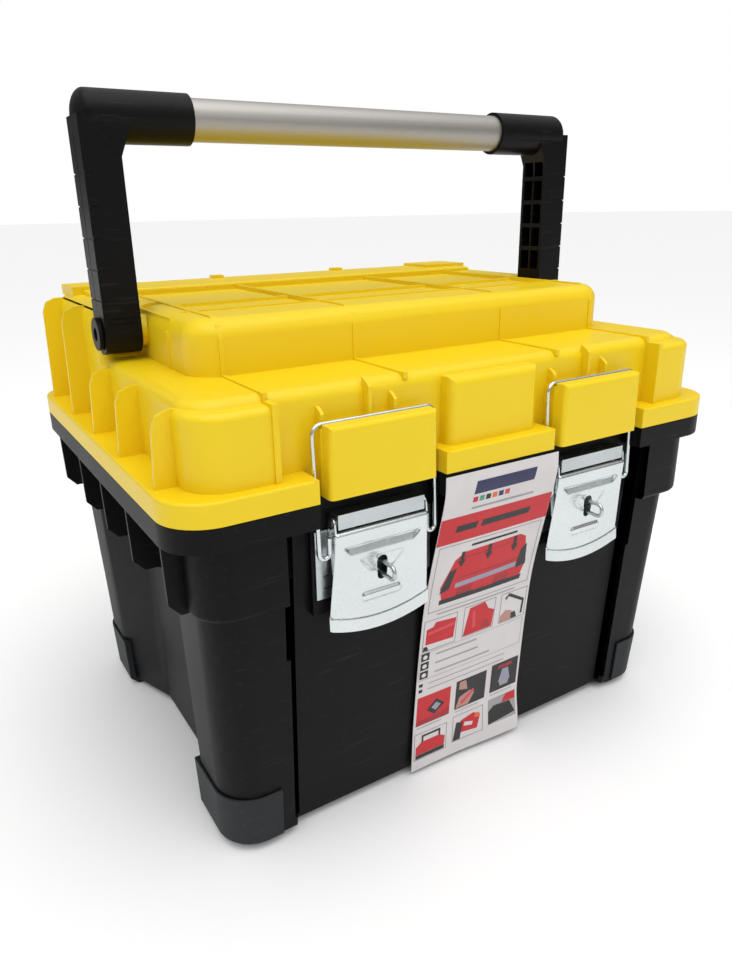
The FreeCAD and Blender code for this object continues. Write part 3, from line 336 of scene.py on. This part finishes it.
# ------------------------------------------------------------------------------------------
# Latch levers.  Pressed steel just over 1 mm thick in bright nickel: a face with a grip groove,
# a thumb oval, a flared lip and a padlock slot, rolled at the top and eyed on to the pin each
# side.
# ------------------------------------------------------------------------------------------


def plated_steel(name, colour, shade, low_rough, high_rough):
    """Pressed sheet under bright plating: faint rolling lines, soft dents and handling marks."""
    material, tree, shader = new_material(name)
    place = add_node(tree, "ShaderNodeTexCoord").outputs["Object"]
    rolled = add_node(tree, "ShaderNodeMapping",
                      {"Vector": place, "Scale": (14.0, 320.0, 320.0)}).outputs["Vector"]
    lines = add_node(tree, "ShaderNodeTexNoise",
                     {"Vector": rolled, "Scale": 1.0, "Detail": 4.0}).outputs["Fac"]
    dents = add_node(tree, "ShaderNodeTexNoise",
                     {"Vector": place, "Scale": 16.0, "Detail": 1.0}).outputs["Fac"]
    smears = add_node(tree, "ShaderNodeTexNoise",
                      {"Vector": place, "Scale": 130.0, "Detail": 5.0,
                       "Distortion": 0.8}).outputs["Fac"]
    tone = add_node(tree, "ShaderNodeMix",
                    {"Factor": dents, "A": linear(colour), "B": linear(shade)},
                    data_type="RGBA")
    tree.links.new(tone.outputs["Result"], shader.inputs["Base Color"])
    rough = add_node(tree, "ShaderNodeMapRange",
                     {"Value": lines, "To Min": low_rough, "To Max": high_rough})
    handled = add_node(tree, "ShaderNodeMapRange",
                       {"Value": smears, "From Min": 0.5, "From Max": 0.8, "To Max": 0.12})
    total = add_node(tree, "ShaderNodeMath",
                     {0: rough.outputs["Result"], 1: handled.outputs["Result"]},
                     operation="ADD")
    tree.links.new(total.outputs[0], shader.inputs["Roughness"])
    soft = add_node(tree, "ShaderNodeBump",
                    {"Height": dents, "Strength": 0.15, "Distance": 0.0004})
    fine = add_node(tree, "ShaderNodeBump",
                    {"Height": lines, "Strength": 0.1, "Distance": 0.000008,
                     "Normal": soft.outputs["Normal"]})
    tree.links.new(fine.outputs["Normal"], shader.inputs["Normal"])
    shader.inputs["Metallic"].default_value = 1.0
    return material


def eased(low, high, value):
    """A smooth step from 0 at low to 1 at high."""
    share = min(1.0, max(0.0, (value - low) / (high - low)))
    return share * share * (3 - 2 * share)


def lever_forward(across, level, lip_line):
    """How far in front of Y 0 the pressed face stands, in mm, at a place on it."""
    side = abs(across)
    face_foot, face_height, face_front, face_lean = 162, 65, 166.6, 5.4
    forward = face_front + (level - face_foot) * face_lean / face_height

    lip_flare, lip_step = 0.17, 0.45
    if level < lip_line:
        forward += (lip_line - level) * lip_flare + lip_step * eased(0.0, 1.6, lip_line - level)

    grip_foot, grip_height, grip_narrow, grip_splay, grip_depth = 211.8, 5.6, 24.5, 0.7, 1.9
    grip_half = grip_narrow + (level - grip_foot) * grip_splay
    inside = 1 - eased(grip_half - 2.4, grip_half + 0.6, side)
    if level > grip_foot:
        slope = min((level - grip_foot) / grip_height, 1.0) * (1 - eased(217.4, 219.2, level))
        forward -= grip_depth * slope * inside

    funnel_foot, funnel_top, funnel_depth = 197, 210, 0.65
    funnel_half = 9 + (level - 198) * 0.85
    if funnel_foot < level < funnel_top:
        pocket = eased(funnel_foot, 199.5, level) * (1 - eased(207.2, 208.4, level))
        forward -= funnel_depth * pocket * (1 - eased(funnel_half - 1.4, funnel_half + 0.4, side))

    oval_half, oval_level, oval_rise, oval_rim, rim_depth = 12.2, 179.6, 1.3, 4.4, 0.25
    oval = math.hypot(max(side - oval_half, 0.0), level - oval_level)
    forward += (oval_rise * (1 - eased(1.2, 4.0, oval))
                - rim_depth * (1 - eased(0.0, 1.6, abs(oval - oval_rim))))
    return forward


def grid_faces(columns, rows):
    """The four-cornered faces between the points of a grid, row by row."""
    width = columns + 1
    return [(row * width + column, row * width + column + 1,
             (row + 1) * width + column + 1, (row + 1) * width + column)
            for row in range(rows) for column in range(columns)]


def lever_face(name, centre, material):
    """The pressed face as one sheet, from the flared lip to the roll along its top."""
    columns, rows, roll_rows = 96, 124, 10
    top, roll_radius, roll_turn, lip_height = 226.6, 2.6, 150, 9.6
    lip_foot, lip_bow, half_foot, half_taper, lip_spread = 155.2, 7.5, 37.3, 3.1, 0.9
    points = []
    for row in range(rows + roll_rows + 1):
        for column in range(columns + 1):
            share = 2 * column / columns - 1
            foot = lip_foot + lip_bow * share * share
            lip_line = foot + lip_height
            level = foot + (top - foot) * min(row / rows, 1)
            half = (half_foot - half_taper * eased(162, 227, level)
                    + lip_spread * (1 - eased(-1.5, 1.0, level - lip_line)))
            across = share * half
            forward = lever_forward(across, level, lip_line)
            if row > rows:
                angle = math.radians(roll_turn) * (row - rows) / roll_rows
                level = top + roll_radius * math.sin(angle)
                forward -= roll_radius * (1 - math.cos(angle))
            edge = eased(half - 1.5, half, abs(across))
            forward -= 1.1 * edge * edge
            points.append(((centre + across) / 1000, -forward / 1000, level / 1000))
    mesh = bpy.data.meshes.new(name)
    mesh.from_pydata(points, [], grid_faces(columns, rows + roll_rows))
    mesh.materials.append(material)
    sheet = mesh_object(name, mesh)
    solid = sheet.modifiers.new("sheet", "SOLIDIFY")
    solid.thickness = 0.0011
    solid.offset = -1
    return frozen(sheet)


def arc_points(u, v, radius, start, end, steps):
    """Points along an arc about (u, v), from a start to an end angle in degrees."""
    return [(u + radius * math.cos(math.radians(start + (end - start) * step / steps)),
             v + radius * math.sin(math.radians(start + (end - start) * step / steps)))
            for step in range(steps + 1)]


def merged(name, pieces):
    """Several meshes as one object."""
    shape = bmesh.new()
    materials = []
    for piece in pieces:
        start = len(shape.faces)
        shape.from_mesh(piece.data)
        shape.faces.ensure_lookup_table()
        for material in piece.data.materials:
            if material not in materials:
                materials.append(material)
        for face in shape.faces[start:]:
            own = piece.data.materials[face.material_index]
            face.material_index = materials.index(own)
    mesh = bpy.data.meshes.new(name)
    shape.to_mesh(mesh)
    shape.free()
    for material in materials:
        mesh.materials.append(material)
    for piece in pieces:
        bpy.data.objects.remove(piece)
    return mesh_object(name, mesh)


nickel = plated_steel("bright_nickel_on_pressed_steel", "#DDE2E2", "#CDD4D5", low_rough=0.17,
                      high_rough=0.30)
pin_y, pin_z, eye_radius, eye_outside = -165.4, 234, 2.1, 4.4
cheek_out, cheek_sheet = 34.1, 1.2
for side in ("left", "right"):
    low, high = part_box(f"latch_lever_{side}")
    centre = (low.x + high.x) * 500
    face = lever_face(f"lever_face_{side}", centre, nickel)
    slot_outline = (arc_points(centre, 202.6, 4.0, 0, 180, 12)
                    + arc_points(centre, 193.2, 3.6, 180, 360, 12))
    face = cut_out(face, extruded("slot_tool", slot_outline, 1, -180, -155, nickel))
    cheeks = []
    for end in (-1, 1):
        outer = centre + end * cheek_out
        inner = outer - end * cheek_sheet
        outline = ([(-170.6, 227), (-168.0, 196), (-166.2, 196), (-161.0, 234)]
                   + arc_points(pin_y, pin_z, eye_outside, 0, 180, 14)[1:]
                   + [(-170.4, 229)])
        cheek = extruded("cheek", outline, 0, min(outer, inner), max(outer, inner), nickel)
        ring = arc_points(pin_y, pin_z, eye_radius, 0, 345, 23)
        cheek = cut_out(cheek, extruded("eye_tool", ring, 0, outer - 3, outer + 3, nickel))
        cheeks.append(cheek)
    lever = merged(f"lever_{side}_skin", [face] + cheeks)
    edges = lever.modifiers.new("edges", "BEVEL")
    edges.width = 0.00022
    edges.segments = 2
    edges.limit_method = "ANGLE"
    edges.angle_limit = math.radians(50)
    frozen(lever)
    smooth_by_angle(lever.data, 42)
    fit(lever, f"lever_{side}", "nickel_steel", f"latch_lever_{side}")

# ------------------------------------------------------------------------------------------
# Wire bails.  Three millimetre spring wire, nickel plated, over each lug and hooked in
# beside the lever's eyes.
# ------------------------------------------------------------------------------------------

for side in ("left", "right"):
    bail = softened(f"latch_bail_{side}", f"bail_{side}_wire", edge_mm=0.02,
                    material=nickel)
    fit(bail, f"bail_{side}", "nickel_steel", f"latch_bail_{side}")

# ------------------------------------------------------------------------------------------
# Latch plates.  Pressed steel plates in bright zinc with a rolled barrel for the lever's pin,
# riveted to the front of the tub.
# ------------------------------------------------------------------------------------------


def zinc_pair(node, edge_mm):
    """The left and right piece of one kind, in zinc, on the tub."""
    for side in ("left", "right"):
        piece = softened(f"{node}_{side}", f"{node}_{side}_skin", edge_mm, zinc)
        fit(piece, "base", "zinc_steel", f"{node}_{side}")


zinc = plated_steel("bright_zinc_on_steel", "#C9CFD0", "#B4BBBD", low_rough=0.20,
                    high_rough=0.38)
zinc_pair("latch_plate", edge_mm=0.45)

# ------------------------------------------------------------------------------------------
# Latch pins.  Cut steel rod in bright zinc, through each plate's barrel and the lever's two eyes.
# Its ends are lightly broken.
# ------------------------------------------------------------------------------------------

zinc_pair("latch_pin", edge_mm=0.2)

# ------------------------------------------------------------------------------------------
# Padlock loops.  Bent steel wire in bright zinc, standing out from each plate through the
# lever's slot.
# ------------------------------------------------------------------------------------------

zinc_pair("padlock_staple", edge_mm=0.02)

# ------------------------------------------------------------------------------------------
# Hinge pins.  Cut steel rod in bright zinc, pressed through the knuckles of the tub and the lid
# at the rear.
# ------------------------------------------------------------------------------------------

zinc_pair("hinge_pin", edge_mm=0.4)

# ------------------------------------------------------------------------------------------
# Rivets.  Eight domed steel rivets in bright zinc, four to each latch plate, set through the
# tub's wall.
# ------------------------------------------------------------------------------------------

rivets = softened("latch_rivets", "rivet_heads", edge_mm=0.9, material=zinc)
fit(rivets, "base", "zinc_steel", "latch_rivets")

# ------------------------------------------------------------------------------------------
# Tray.  A thin slate grey polypropylene moulding that rests on two ledges in the tub and lifts
# out.
# ------------------------------------------------------------------------------------------

tray = softened("tray", "tray_shell", edge_mm=0.6, material=slate_plastic)
fit(tray, "tray", "tray_polypropylene", "tray")

# ------------------------------------------------------------------------------------------
# Tray dividers.  Two loose slate grey polypropylene plates that drop into rails in the tray.
# Their edges are lightly broken.
# ------------------------------------------------------------------------------------------

for side in ("left", "right"):
    divider = softened(f"tray_divider_{side}", f"divider_{side}", edge_mm=0.4,
                       material=slate_plastic)
    fit(divider, "tray", "tray_polypropylene", f"tray_divider_{side}")

# ------------------------------------------------------------------------------------------
# Tray handle.  A yellow polypropylene bow that snaps into two eyes on the tray and folds flat.
# It is moulded in one piece.
# ------------------------------------------------------------------------------------------

carry = softened("tray_handle", "tray_carry_handle", edge_mm=0.8, material=yellow_plastic)
fit(carry, "tray_handle", "yellow_polypropylene", "tray_handle")

# ------------------------------------------------------------------------------------------
# Printed card.  Coated white card tucked under the lid's rim and hanging back on to the front
# panel, its foot curling forward.  Its print is plain blocks and little pictures, no lettering.
# ------------------------------------------------------------------------------------------


def printed_ink(name, colour, roughness=0.42):
    """Offset ink on coated card: flat colour with a fine screen and the paper's slight tooth."""
    material, tree, shader = new_material(name)
    place = add_node(tree, "ShaderNodeTexCoord").outputs["Object"]
    tooth = add_node(tree, "ShaderNodeTexNoise",
                     {"Vector": place, "Scale": 1400.0, "Detail": 3.0}).outputs["Fac"]
    cloud = add_node(tree, "ShaderNodeTexNoise",
                     {"Vector": place, "Scale": 45.0, "Detail": 3.0}).outputs["Fac"]
    darker = tuple(0.86 * c for c in linear(colour)[:3]) + (1.0,)
    tone = add_node(tree, "ShaderNodeMix", {"Factor": cloud, "A": linear(colour), "B": darker},
                    data_type="RGBA")
    tree.links.new(tone.outputs["Result"], shader.inputs["Base Color"])
    rough = add_node(tree, "ShaderNodeMapRange",
                     {"Value": cloud, "To Min": roughness - 0.08, "To Max": roughness + 0.1})
    tree.links.new(rough.outputs["Result"], shader.inputs["Roughness"])
    bump = add_node(tree, "ShaderNodeBump",
                    {"Height": tooth, "Strength": 0.15, "Distance": 0.00003})
    tree.links.new(bump.outputs["Normal"], shader.inputs["Normal"])
    return material


inks = {
    "card": printed_ink("coated_white_card", "#DCD7D7"),
    "red": printed_ink("red_offset_ink", "#C9141F"),
    "pale_red": printed_ink("pale_red_offset_ink", "#D8434C"),
    "deep_red": printed_ink("deep_red_offset_ink", "#A31C27"),
    "black": printed_ink("black_offset_ink", "#1E1C1F"),
    "grey": printed_ink("grey_offset_ink", "#A29FA3"),
    "steel": printed_ink("blue_grey_offset_ink", "#9A9AAE"),
    "line": printed_ink("thin_grey_line_ink", "#6F6C70"),
    "navy": printed_ink("navy_offset_ink", "#2B2C55"),
    "skin": printed_ink("buff_offset_ink", "#B98A80"),
    "green": printed_ink("green_offset_ink", "#4E9B72"),
    "amber": printed_ink("amber_offset_ink", "#E4703F"),
}

card_low, card_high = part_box("label_card")
profile = {}
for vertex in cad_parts["label_card"].data.vertices:
    height = round(vertex.co.z * 1000, 1)
    profile[height] = min(profile.get(height, 0.0), vertex.co.y * 1000)
profile_heights = sorted(profile)
card_foot, card_head = profile_heights[0], profile_heights[-1]


def card_depth(height):
    """The smooth hang of the card: a curve through the CAD card's own heights."""
    height = min(max(height, card_foot), card_head)
    after = next(i for i, level in enumerate(profile_heights[1:], 1) if height <= level)
    before = after - 1
    h0, h1 = profile_heights[before], profile_heights[after]
    d0, d1 = profile[h0], profile[h1]
    p, n = max(before - 1, 0), min(after + 1, len(profile_heights) - 1)
    s0 = (d1 - profile[profile_heights[p]]) / (h1 - profile_heights[p])
    s1 = (profile[profile_heights[n]] - d0) / (profile_heights[n] - h0)
    t, span = (height - h0) / (h1 - h0), h1 - h0
    return ((2 * t ** 3 - 3 * t ** 2 + 1) * d0 + (t ** 3 - 2 * t ** 2 + t) * span * s0
            + (3 * t ** 2 - 2 * t ** 3) * d1 + (t ** 3 - t ** 2) * span * s1)


def on_card(u, height, lift):
    """A place on the card: u runs 0 to 100 across it and height in mm, lift in mm in front."""
    rise = (height - card_foot) / (card_head - card_foot)
    left = card_low.x * 1000 - 3.5 + 6.5 * rise
    right = card_high.x * 1000
    curl = 5.5 * (1 - eased(4, 46, height)) * (0.25 + 0.75 * eased(35, 100, u))
    bow = 0.7 * math.sin(math.pi * u / 100) * math.sin(math.pi * rise)
    return Vector((left + (right - left) * u / 100,
                   card_depth(height) - curl - bow - lift,
                   height + 0.22 * curl * eased(40, 100, u))) / 1000


columns, rows = 30, 110
sheet_points = [on_card(100 * column / columns,
                        card_foot + (card_head - card_foot) * row / rows, 0)
                for row in range(rows + 1) for column in range(columns + 1)]
sheet_mesh = bpy.data.meshes.new("card_sheet")
sheet_mesh.from_pydata(sheet_points, [], grid_faces(columns, rows))
sheet_mesh.materials.append(inks["card"])
card = mesh_object("card_sheet", sheet_mesh)
thickness = card.modifiers.new("thickness", "SOLIDIFY")
thickness.thickness = 0.00045
thickness.offset = -1
frozen(card)
smooth_by_angle(card.data, 60)

prints = []


def printed(ink, *corners, layer=1):
    """A flat-coloured shape on the card, its corners in card widths and millimetres of height."""
    shape = bmesh.new()
    shape.faces.new([shape.verts.new((u, height, 0)) for u, height in corners])
    heights = [height for _, height in corners]
    level = math.floor(min(heights)) + 1
    while level < max(heights):
        bmesh.ops.bisect_plane(shape, geom=shape.verts[:] + shape.edges[:] + shape.faces[:],
                               plane_co=(0, level, 0), plane_no=(0, 1, 0))
        level += 3
    across = [u for u, _ in corners]
    place = math.floor(min(across)) + 2
    while place < max(across):
        bmesh.ops.bisect_plane(shape, geom=shape.verts[:] + shape.edges[:] + shape.faces[:],
                               plane_co=(place, 0, 0), plane_no=(1, 0, 0))
        place += 6
    for vertex in shape.verts:
        vertex.co = on_card(vertex.co.x, vertex.co.y, 0.05 + 0.05 * layer)
    bmesh.ops.recalc_face_normals(shape, faces=shape.faces)
    for face in shape.faces:
        if face.normal.y > 0:
            face.normal_flip()
    mesh = bpy.data.meshes.new("print")
    shape.to_mesh(mesh)
    shape.free()
    mesh.materials.append(inks[ink])
    prints.append(mesh_object("print", mesh))


def printed_box(ink, left, low, right, high, layer=1):
    """A filled upright rectangle on the card."""
    printed(ink, (left, low), (right, low), (right, high), (left, high), layer=layer)


def printed_frame(left, low, right, high, line=0.45):
    """A thin ruled border on the card."""
    printed_box("line", left, low, right, low + line)
    printed_box("line", left, high - line, right, high)
    printed_box("line", left, low, left + line, high)
    printed_box("line", right - line, low, right, high)


# Heading: a plain navy bar, a row of colour chips, a grey rule and the full-width red band.
printed("navy", (24, 234.5), (78, 234.5), (80, 243.5), (26, 243.5))
for chip, ink in enumerate(("red", "green", "black", "amber", "navy", "pale_red")):
    printed_box(ink, 24 + chip * 5.6, 228.6, 28.2 + chip * 5.6, 232.4)
printed_box("grey", 24, 223.4, 80, 225.0)
printed_box("red", 0.2, 199.5, 99.8, 220.0)
printed("black", (14, 207.6), (32, 207.6), (33, 212.6), (15, 212.6), layer=2)
printed("black", (36, 207.6), (80, 207.6), (81, 212.6), (37, 212.6), layer=2)

# Main panel: a framed picture of a closed box with three arrows pressing on its lid.
printed_frame(3.5, 144, 96.5, 197.5)
printed_box("black", 32, 192.4, 74, 194.2)
printed("red", (14, 151), (86, 151), (90, 164), (84, 187), (78, 190), (28, 189), (20, 184),
        (11, 163))
printed("black", (12, 148.6), (87, 148.6), (88, 152.5), (12, 152.5), layer=2)
printed("black", (11, 158), (19, 160), (23, 177), (17, 175), layer=2)
printed("black", (80, 160), (90, 161), (87, 180), (82, 176), layer=2)
printed("steel", (24, 159.5), (80, 161.5), (80, 165.8), (24, 163.5), layer=3)
printed("deep_red", (22, 166.5), (82, 168), (82, 169), (22, 167.5), layer=2)
printed("deep_red", (23, 183.4), (82, 184.8), (82, 185.7), (23, 184.3), layer=2)
for foot in (26, 60):
    printed_box("black", foot, 151.8, foot + 15, 152.9, layer=3)
    printed_box("deep_red", foot + 0.8, 153, foot + 14, 158.2, layer=3)
for arrow in (26, 50, 74):
    printed_box("black", arrow - 1.5, 182, arrow + 1.5, 189.4, layer=4)
    printed("black", (arrow - 3.4, 182.4), (arrow, 176.6), (arrow + 3.4, 182.4), layer=4)
printed_box("grey", 12, 140.4, 84, 141.6)

# Three small pictures: a lid's corner, a pair of latches and a hand at a bow handle.
printed_frame(2, 111.5, 31, 137.5)
printed("red", (4.5, 117), (29, 116), (30, 133), (12, 134.5), (10, 131), (4.5, 130))
printed("pale_red", (6, 125), (29, 127), (29, 129.5), (6, 127.5), layer=2)
printed("black", (2.6, 112.1), (7.5, 112.1), (6, 115.6), (3.2, 115.6), layer=2)
printed_frame(37, 112.5, 66.5, 138.5)
printed("red", (38, 113.2), (65, 113.4), (66, 128), (60, 131), (56, 137.8), (42, 136.5))
printed("pale_red", (46, 118), (49, 118), (47.5, 133), (45, 133), layer=2)
printed("deep_red", (55, 114.5), (63, 114.5), (61, 121), (56, 121), layer=2)
printed_frame(72, 112.5, 98, 138.5)
printed("skin", (73, 113.2), (84, 113.2), (84, 121), (78, 123), (73, 119))
printed("black", (76, 134), (80, 137.5), (96, 128), (95.4, 115), (93.4, 115), (94, 126.4),
        (79.5, 134.8), (77, 132), layer=2)
printed("black", (84, 113.4), (90, 113.4), (88, 119), (84, 119), layer=2)

# Notes: three black pictogram squares, each with a card-coloured oval, beside plain rules.
printed_frame(0.8, 86.5, 97.2, 110.4, line=0.25)
for row, low in enumerate((103.2, 95.4, 87.6)):
    printed_box("black", 2, low, 9.2, low + 6.6)
    printed("card", *[(5.6 + 2 * math.cos(math.radians(a)), low + 3.1
                       + 1.8 * math.sin(math.radians(a))) for a in range(0, 360, 30)], layer=2)
    printed_box("grey", 15, low + 2.2, (52, 54, 66)[row], low + 3.6)
for low in (80.6, 75.6):
    printed_box("black", 2.2, low, 5.4, low + 2.8)
    printed_box("grey", 10, low + 0.9, 82, low + 1.7)

# Two rows of three little pictures of details, as plain coloured shapes.
printed_box("red", 2, 45, 32, 71)
printed("deep_red", (2, 45), (32, 45), (32, 51), (2, 49), layer=2)
printed("black", (11, 57), (18, 51), (27, 58), (19, 65), layer=3)
printed("steel", (15, 58), (19, 54.5), (23.4, 58.4), (19, 61.8), layer=4)
printed_box("black", 37, 46, 66, 72.4)
printed("skin", (38, 47), (50, 47), (55, 56), (51, 60), (41, 57), layer=2)
printed("skin", (40, 64), (48, 62), (46, 71), (40, 71), layer=2)
printed("pale_red", (44, 49), (55, 58), (53.6, 60.4), (42, 51.5), layer=3)
printed_box("black", 71, 47.6, 98, 74)
printed("deep_red", (77, 68.4), (92, 68.4), (91, 71.4), (78, 71.4), layer=2)
printed("steel", (79, 55), (91, 55), (88, 67), (82, 67), layer=2)
printed("grey", (81, 51), (89, 51), (90, 55.6), (80, 55.6), layer=3)
for start, low in ((3, 42.2), (38, 43.2), (72, 44.6)):
    printed_box("grey", start, low, start + 22, low + 0.8)
printed_frame(1.5, 13.5, 31, 37.5)
printed("red", (3, 18), (29, 18), (29.6, 26), (24, 29), (8, 29), (3, 25))
printed("black", (8, 28.6), (8, 35), (25, 35), (25, 28.6), (23.4, 28.6), (23.4, 33.2),
        (9.6, 33.2), (9.6, 28.6), layer=2)
printed("black", (3, 14.4), (29, 14.4), (29, 17.8), (3, 17.8), layer=2)
printed_frame(36.5, 15.5, 65.5, 39.5)
printed("black", (37.2, 16.2), (44, 16.2), (46, 31), (40, 33), layer=2)
printed("red", (43, 22), (60, 20), (63, 32), (56, 36), (44, 33))
printed("card", (47, 27), (55, 25), (56, 28), (48, 30.5), layer=3)
printed("amber", (57, 31), (62, 30), (62, 34), (58, 35), layer=3)
printed_box("grey", 70.5, 17.5, 98, 41)
printed("black", (70.8, 18), (97, 21), (92, 33), (76, 34), (70.8, 30), layer=2)
printed("red", (84, 34), (97.6, 33), (97.6, 40.6), (88, 40.6), layer=2)
print_sheet = merged("card_print", prints)
card = merged("card_printed", [card, print_sheet])
fit(card, "base", "printed_card", "label_card")

# ------------------------------------------------------------------------------------------
# Studio.  A pale floor, soft white light from above and both sides, and the camera.
# ------------------------------------------------------------------------------------------

floor_material, _, floor_shader = new_material("pale_studio_floor")
floor_shader.inputs["Base Color"].default_value = linear("#FCFCFC")
floor_shader.inputs["Specular IOR Level"].default_value = 0.2
floor_shader.inputs["Roughness"].default_value = 0.6
floor_mesh = bpy.data.meshes.new("floor")
floor_mesh.from_pydata([(-40, -40, 0), (40, -40, 0), (40, 40, 0), (-40, 40, 0)], [], [(0, 1, 2, 3)])
floor_mesh.materials.append(floor_material)
floor = mesh_object("floor", floor_mesh)
floor.location.z = cad_low.z - 0.0002


def soft_light(name, place, aim, size, power):
    """A square soft box at a place, turned to a point."""
    data = bpy.data.lights.new(name, "AREA")
    data.shape = "SQUARE"
    data.size = size
    data.energy = power
    lamp = bpy.data.objects.new(name, data)
    bpy.context.scene.collection.objects.link(lamp)
    lamp.location = place
    lamp.rotation_mode = "QUATERNION"
    lamp.rotation_quaternion = (Vector(aim) - Vector(place)).to_track_quat("-Z", "Y")


box_middle = (cad_low + cad_high) / 2
soft_light("overhead_box", (0.1, -0.1, 1.7), box_middle, 1.5, 5)
soft_light("left_box", (-1.7, 0.1, 1.0), box_middle, 0.9, 1.2)
soft_light("front_box", (0.5, -1.9, 1.1), box_middle, 1.0, 1.6)
ceiling = bpy.data.lights.new("ceiling_glow", "SUN")
ceiling.energy = 1.45
ceiling.angle = math.radians(70)
ceiling_lamp = bpy.data.objects.new("ceiling_glow", ceiling)
bpy.context.scene.collection.objects.link(ceiling_lamp)
ceiling_lamp.rotation_euler = (math.radians(24), math.radians(-8), 0)

world = bpy.data.worlds.new("studio")
world.use_nodes = True
world_tree = world.node_tree
toward = add_node(world_tree, "ShaderNodeTexCoord").outputs["Generated"]
height = add_node(world_tree, "ShaderNodeSeparateXYZ", {"Vector": toward}).outputs["Z"]
dome = add_node(world_tree, "ShaderNodeMapRange",
                {"Value": height, "From Min": 0.05, "From Max": 0.75, "To Min": 0.10,
                 "To Max": 0.72}).outputs["Result"]
seen = add_node(world_tree, "ShaderNodeLightPath").outputs["Is Camera Ray"]
strength = add_node(world_tree, "ShaderNodeMix", {"Factor": seen, "A": dome, "B": 1.0})
world_tree.links.new(strength.outputs["Result"],
                     world_tree.nodes["Background"].inputs["Strength"])
world_tree.nodes["Background"].inputs["Color"].default_value = linear("#FFFFFF")
bpy.context.scene.world = world

camera_data = bpy.data.cameras.new("camera")
camera = bpy.data.objects.new("camera", camera_data)
bpy.context.scene.collection.objects.link(camera)
yaw, pitch, roll = math.radians(31.67), math.radians(-20.26), math.radians(-1.01)
forward = Vector((math.sin(yaw) * math.cos(pitch), math.cos(yaw) * math.cos(pitch),
                  math.sin(pitch)))
sideways = Vector((math.cos(yaw), -math.sin(yaw), 0))
upward = sideways.cross(forward)
right = math.cos(roll) * sideways + math.sin(roll) * upward
above = math.cos(roll) * upward - math.sin(roll) * sideways
turn = Matrix((right, above, -forward)).transposed()
camera.matrix_world = Matrix.Translation((-0.32673, -0.53137, 0.4105)) @ turn.to_4x4()
camera_data.sensor_width = 36
camera_data.lens = 27.865
bpy.context.scene.camera = camera
bpy.context.scene.view_settings.view_transform = "Standard"
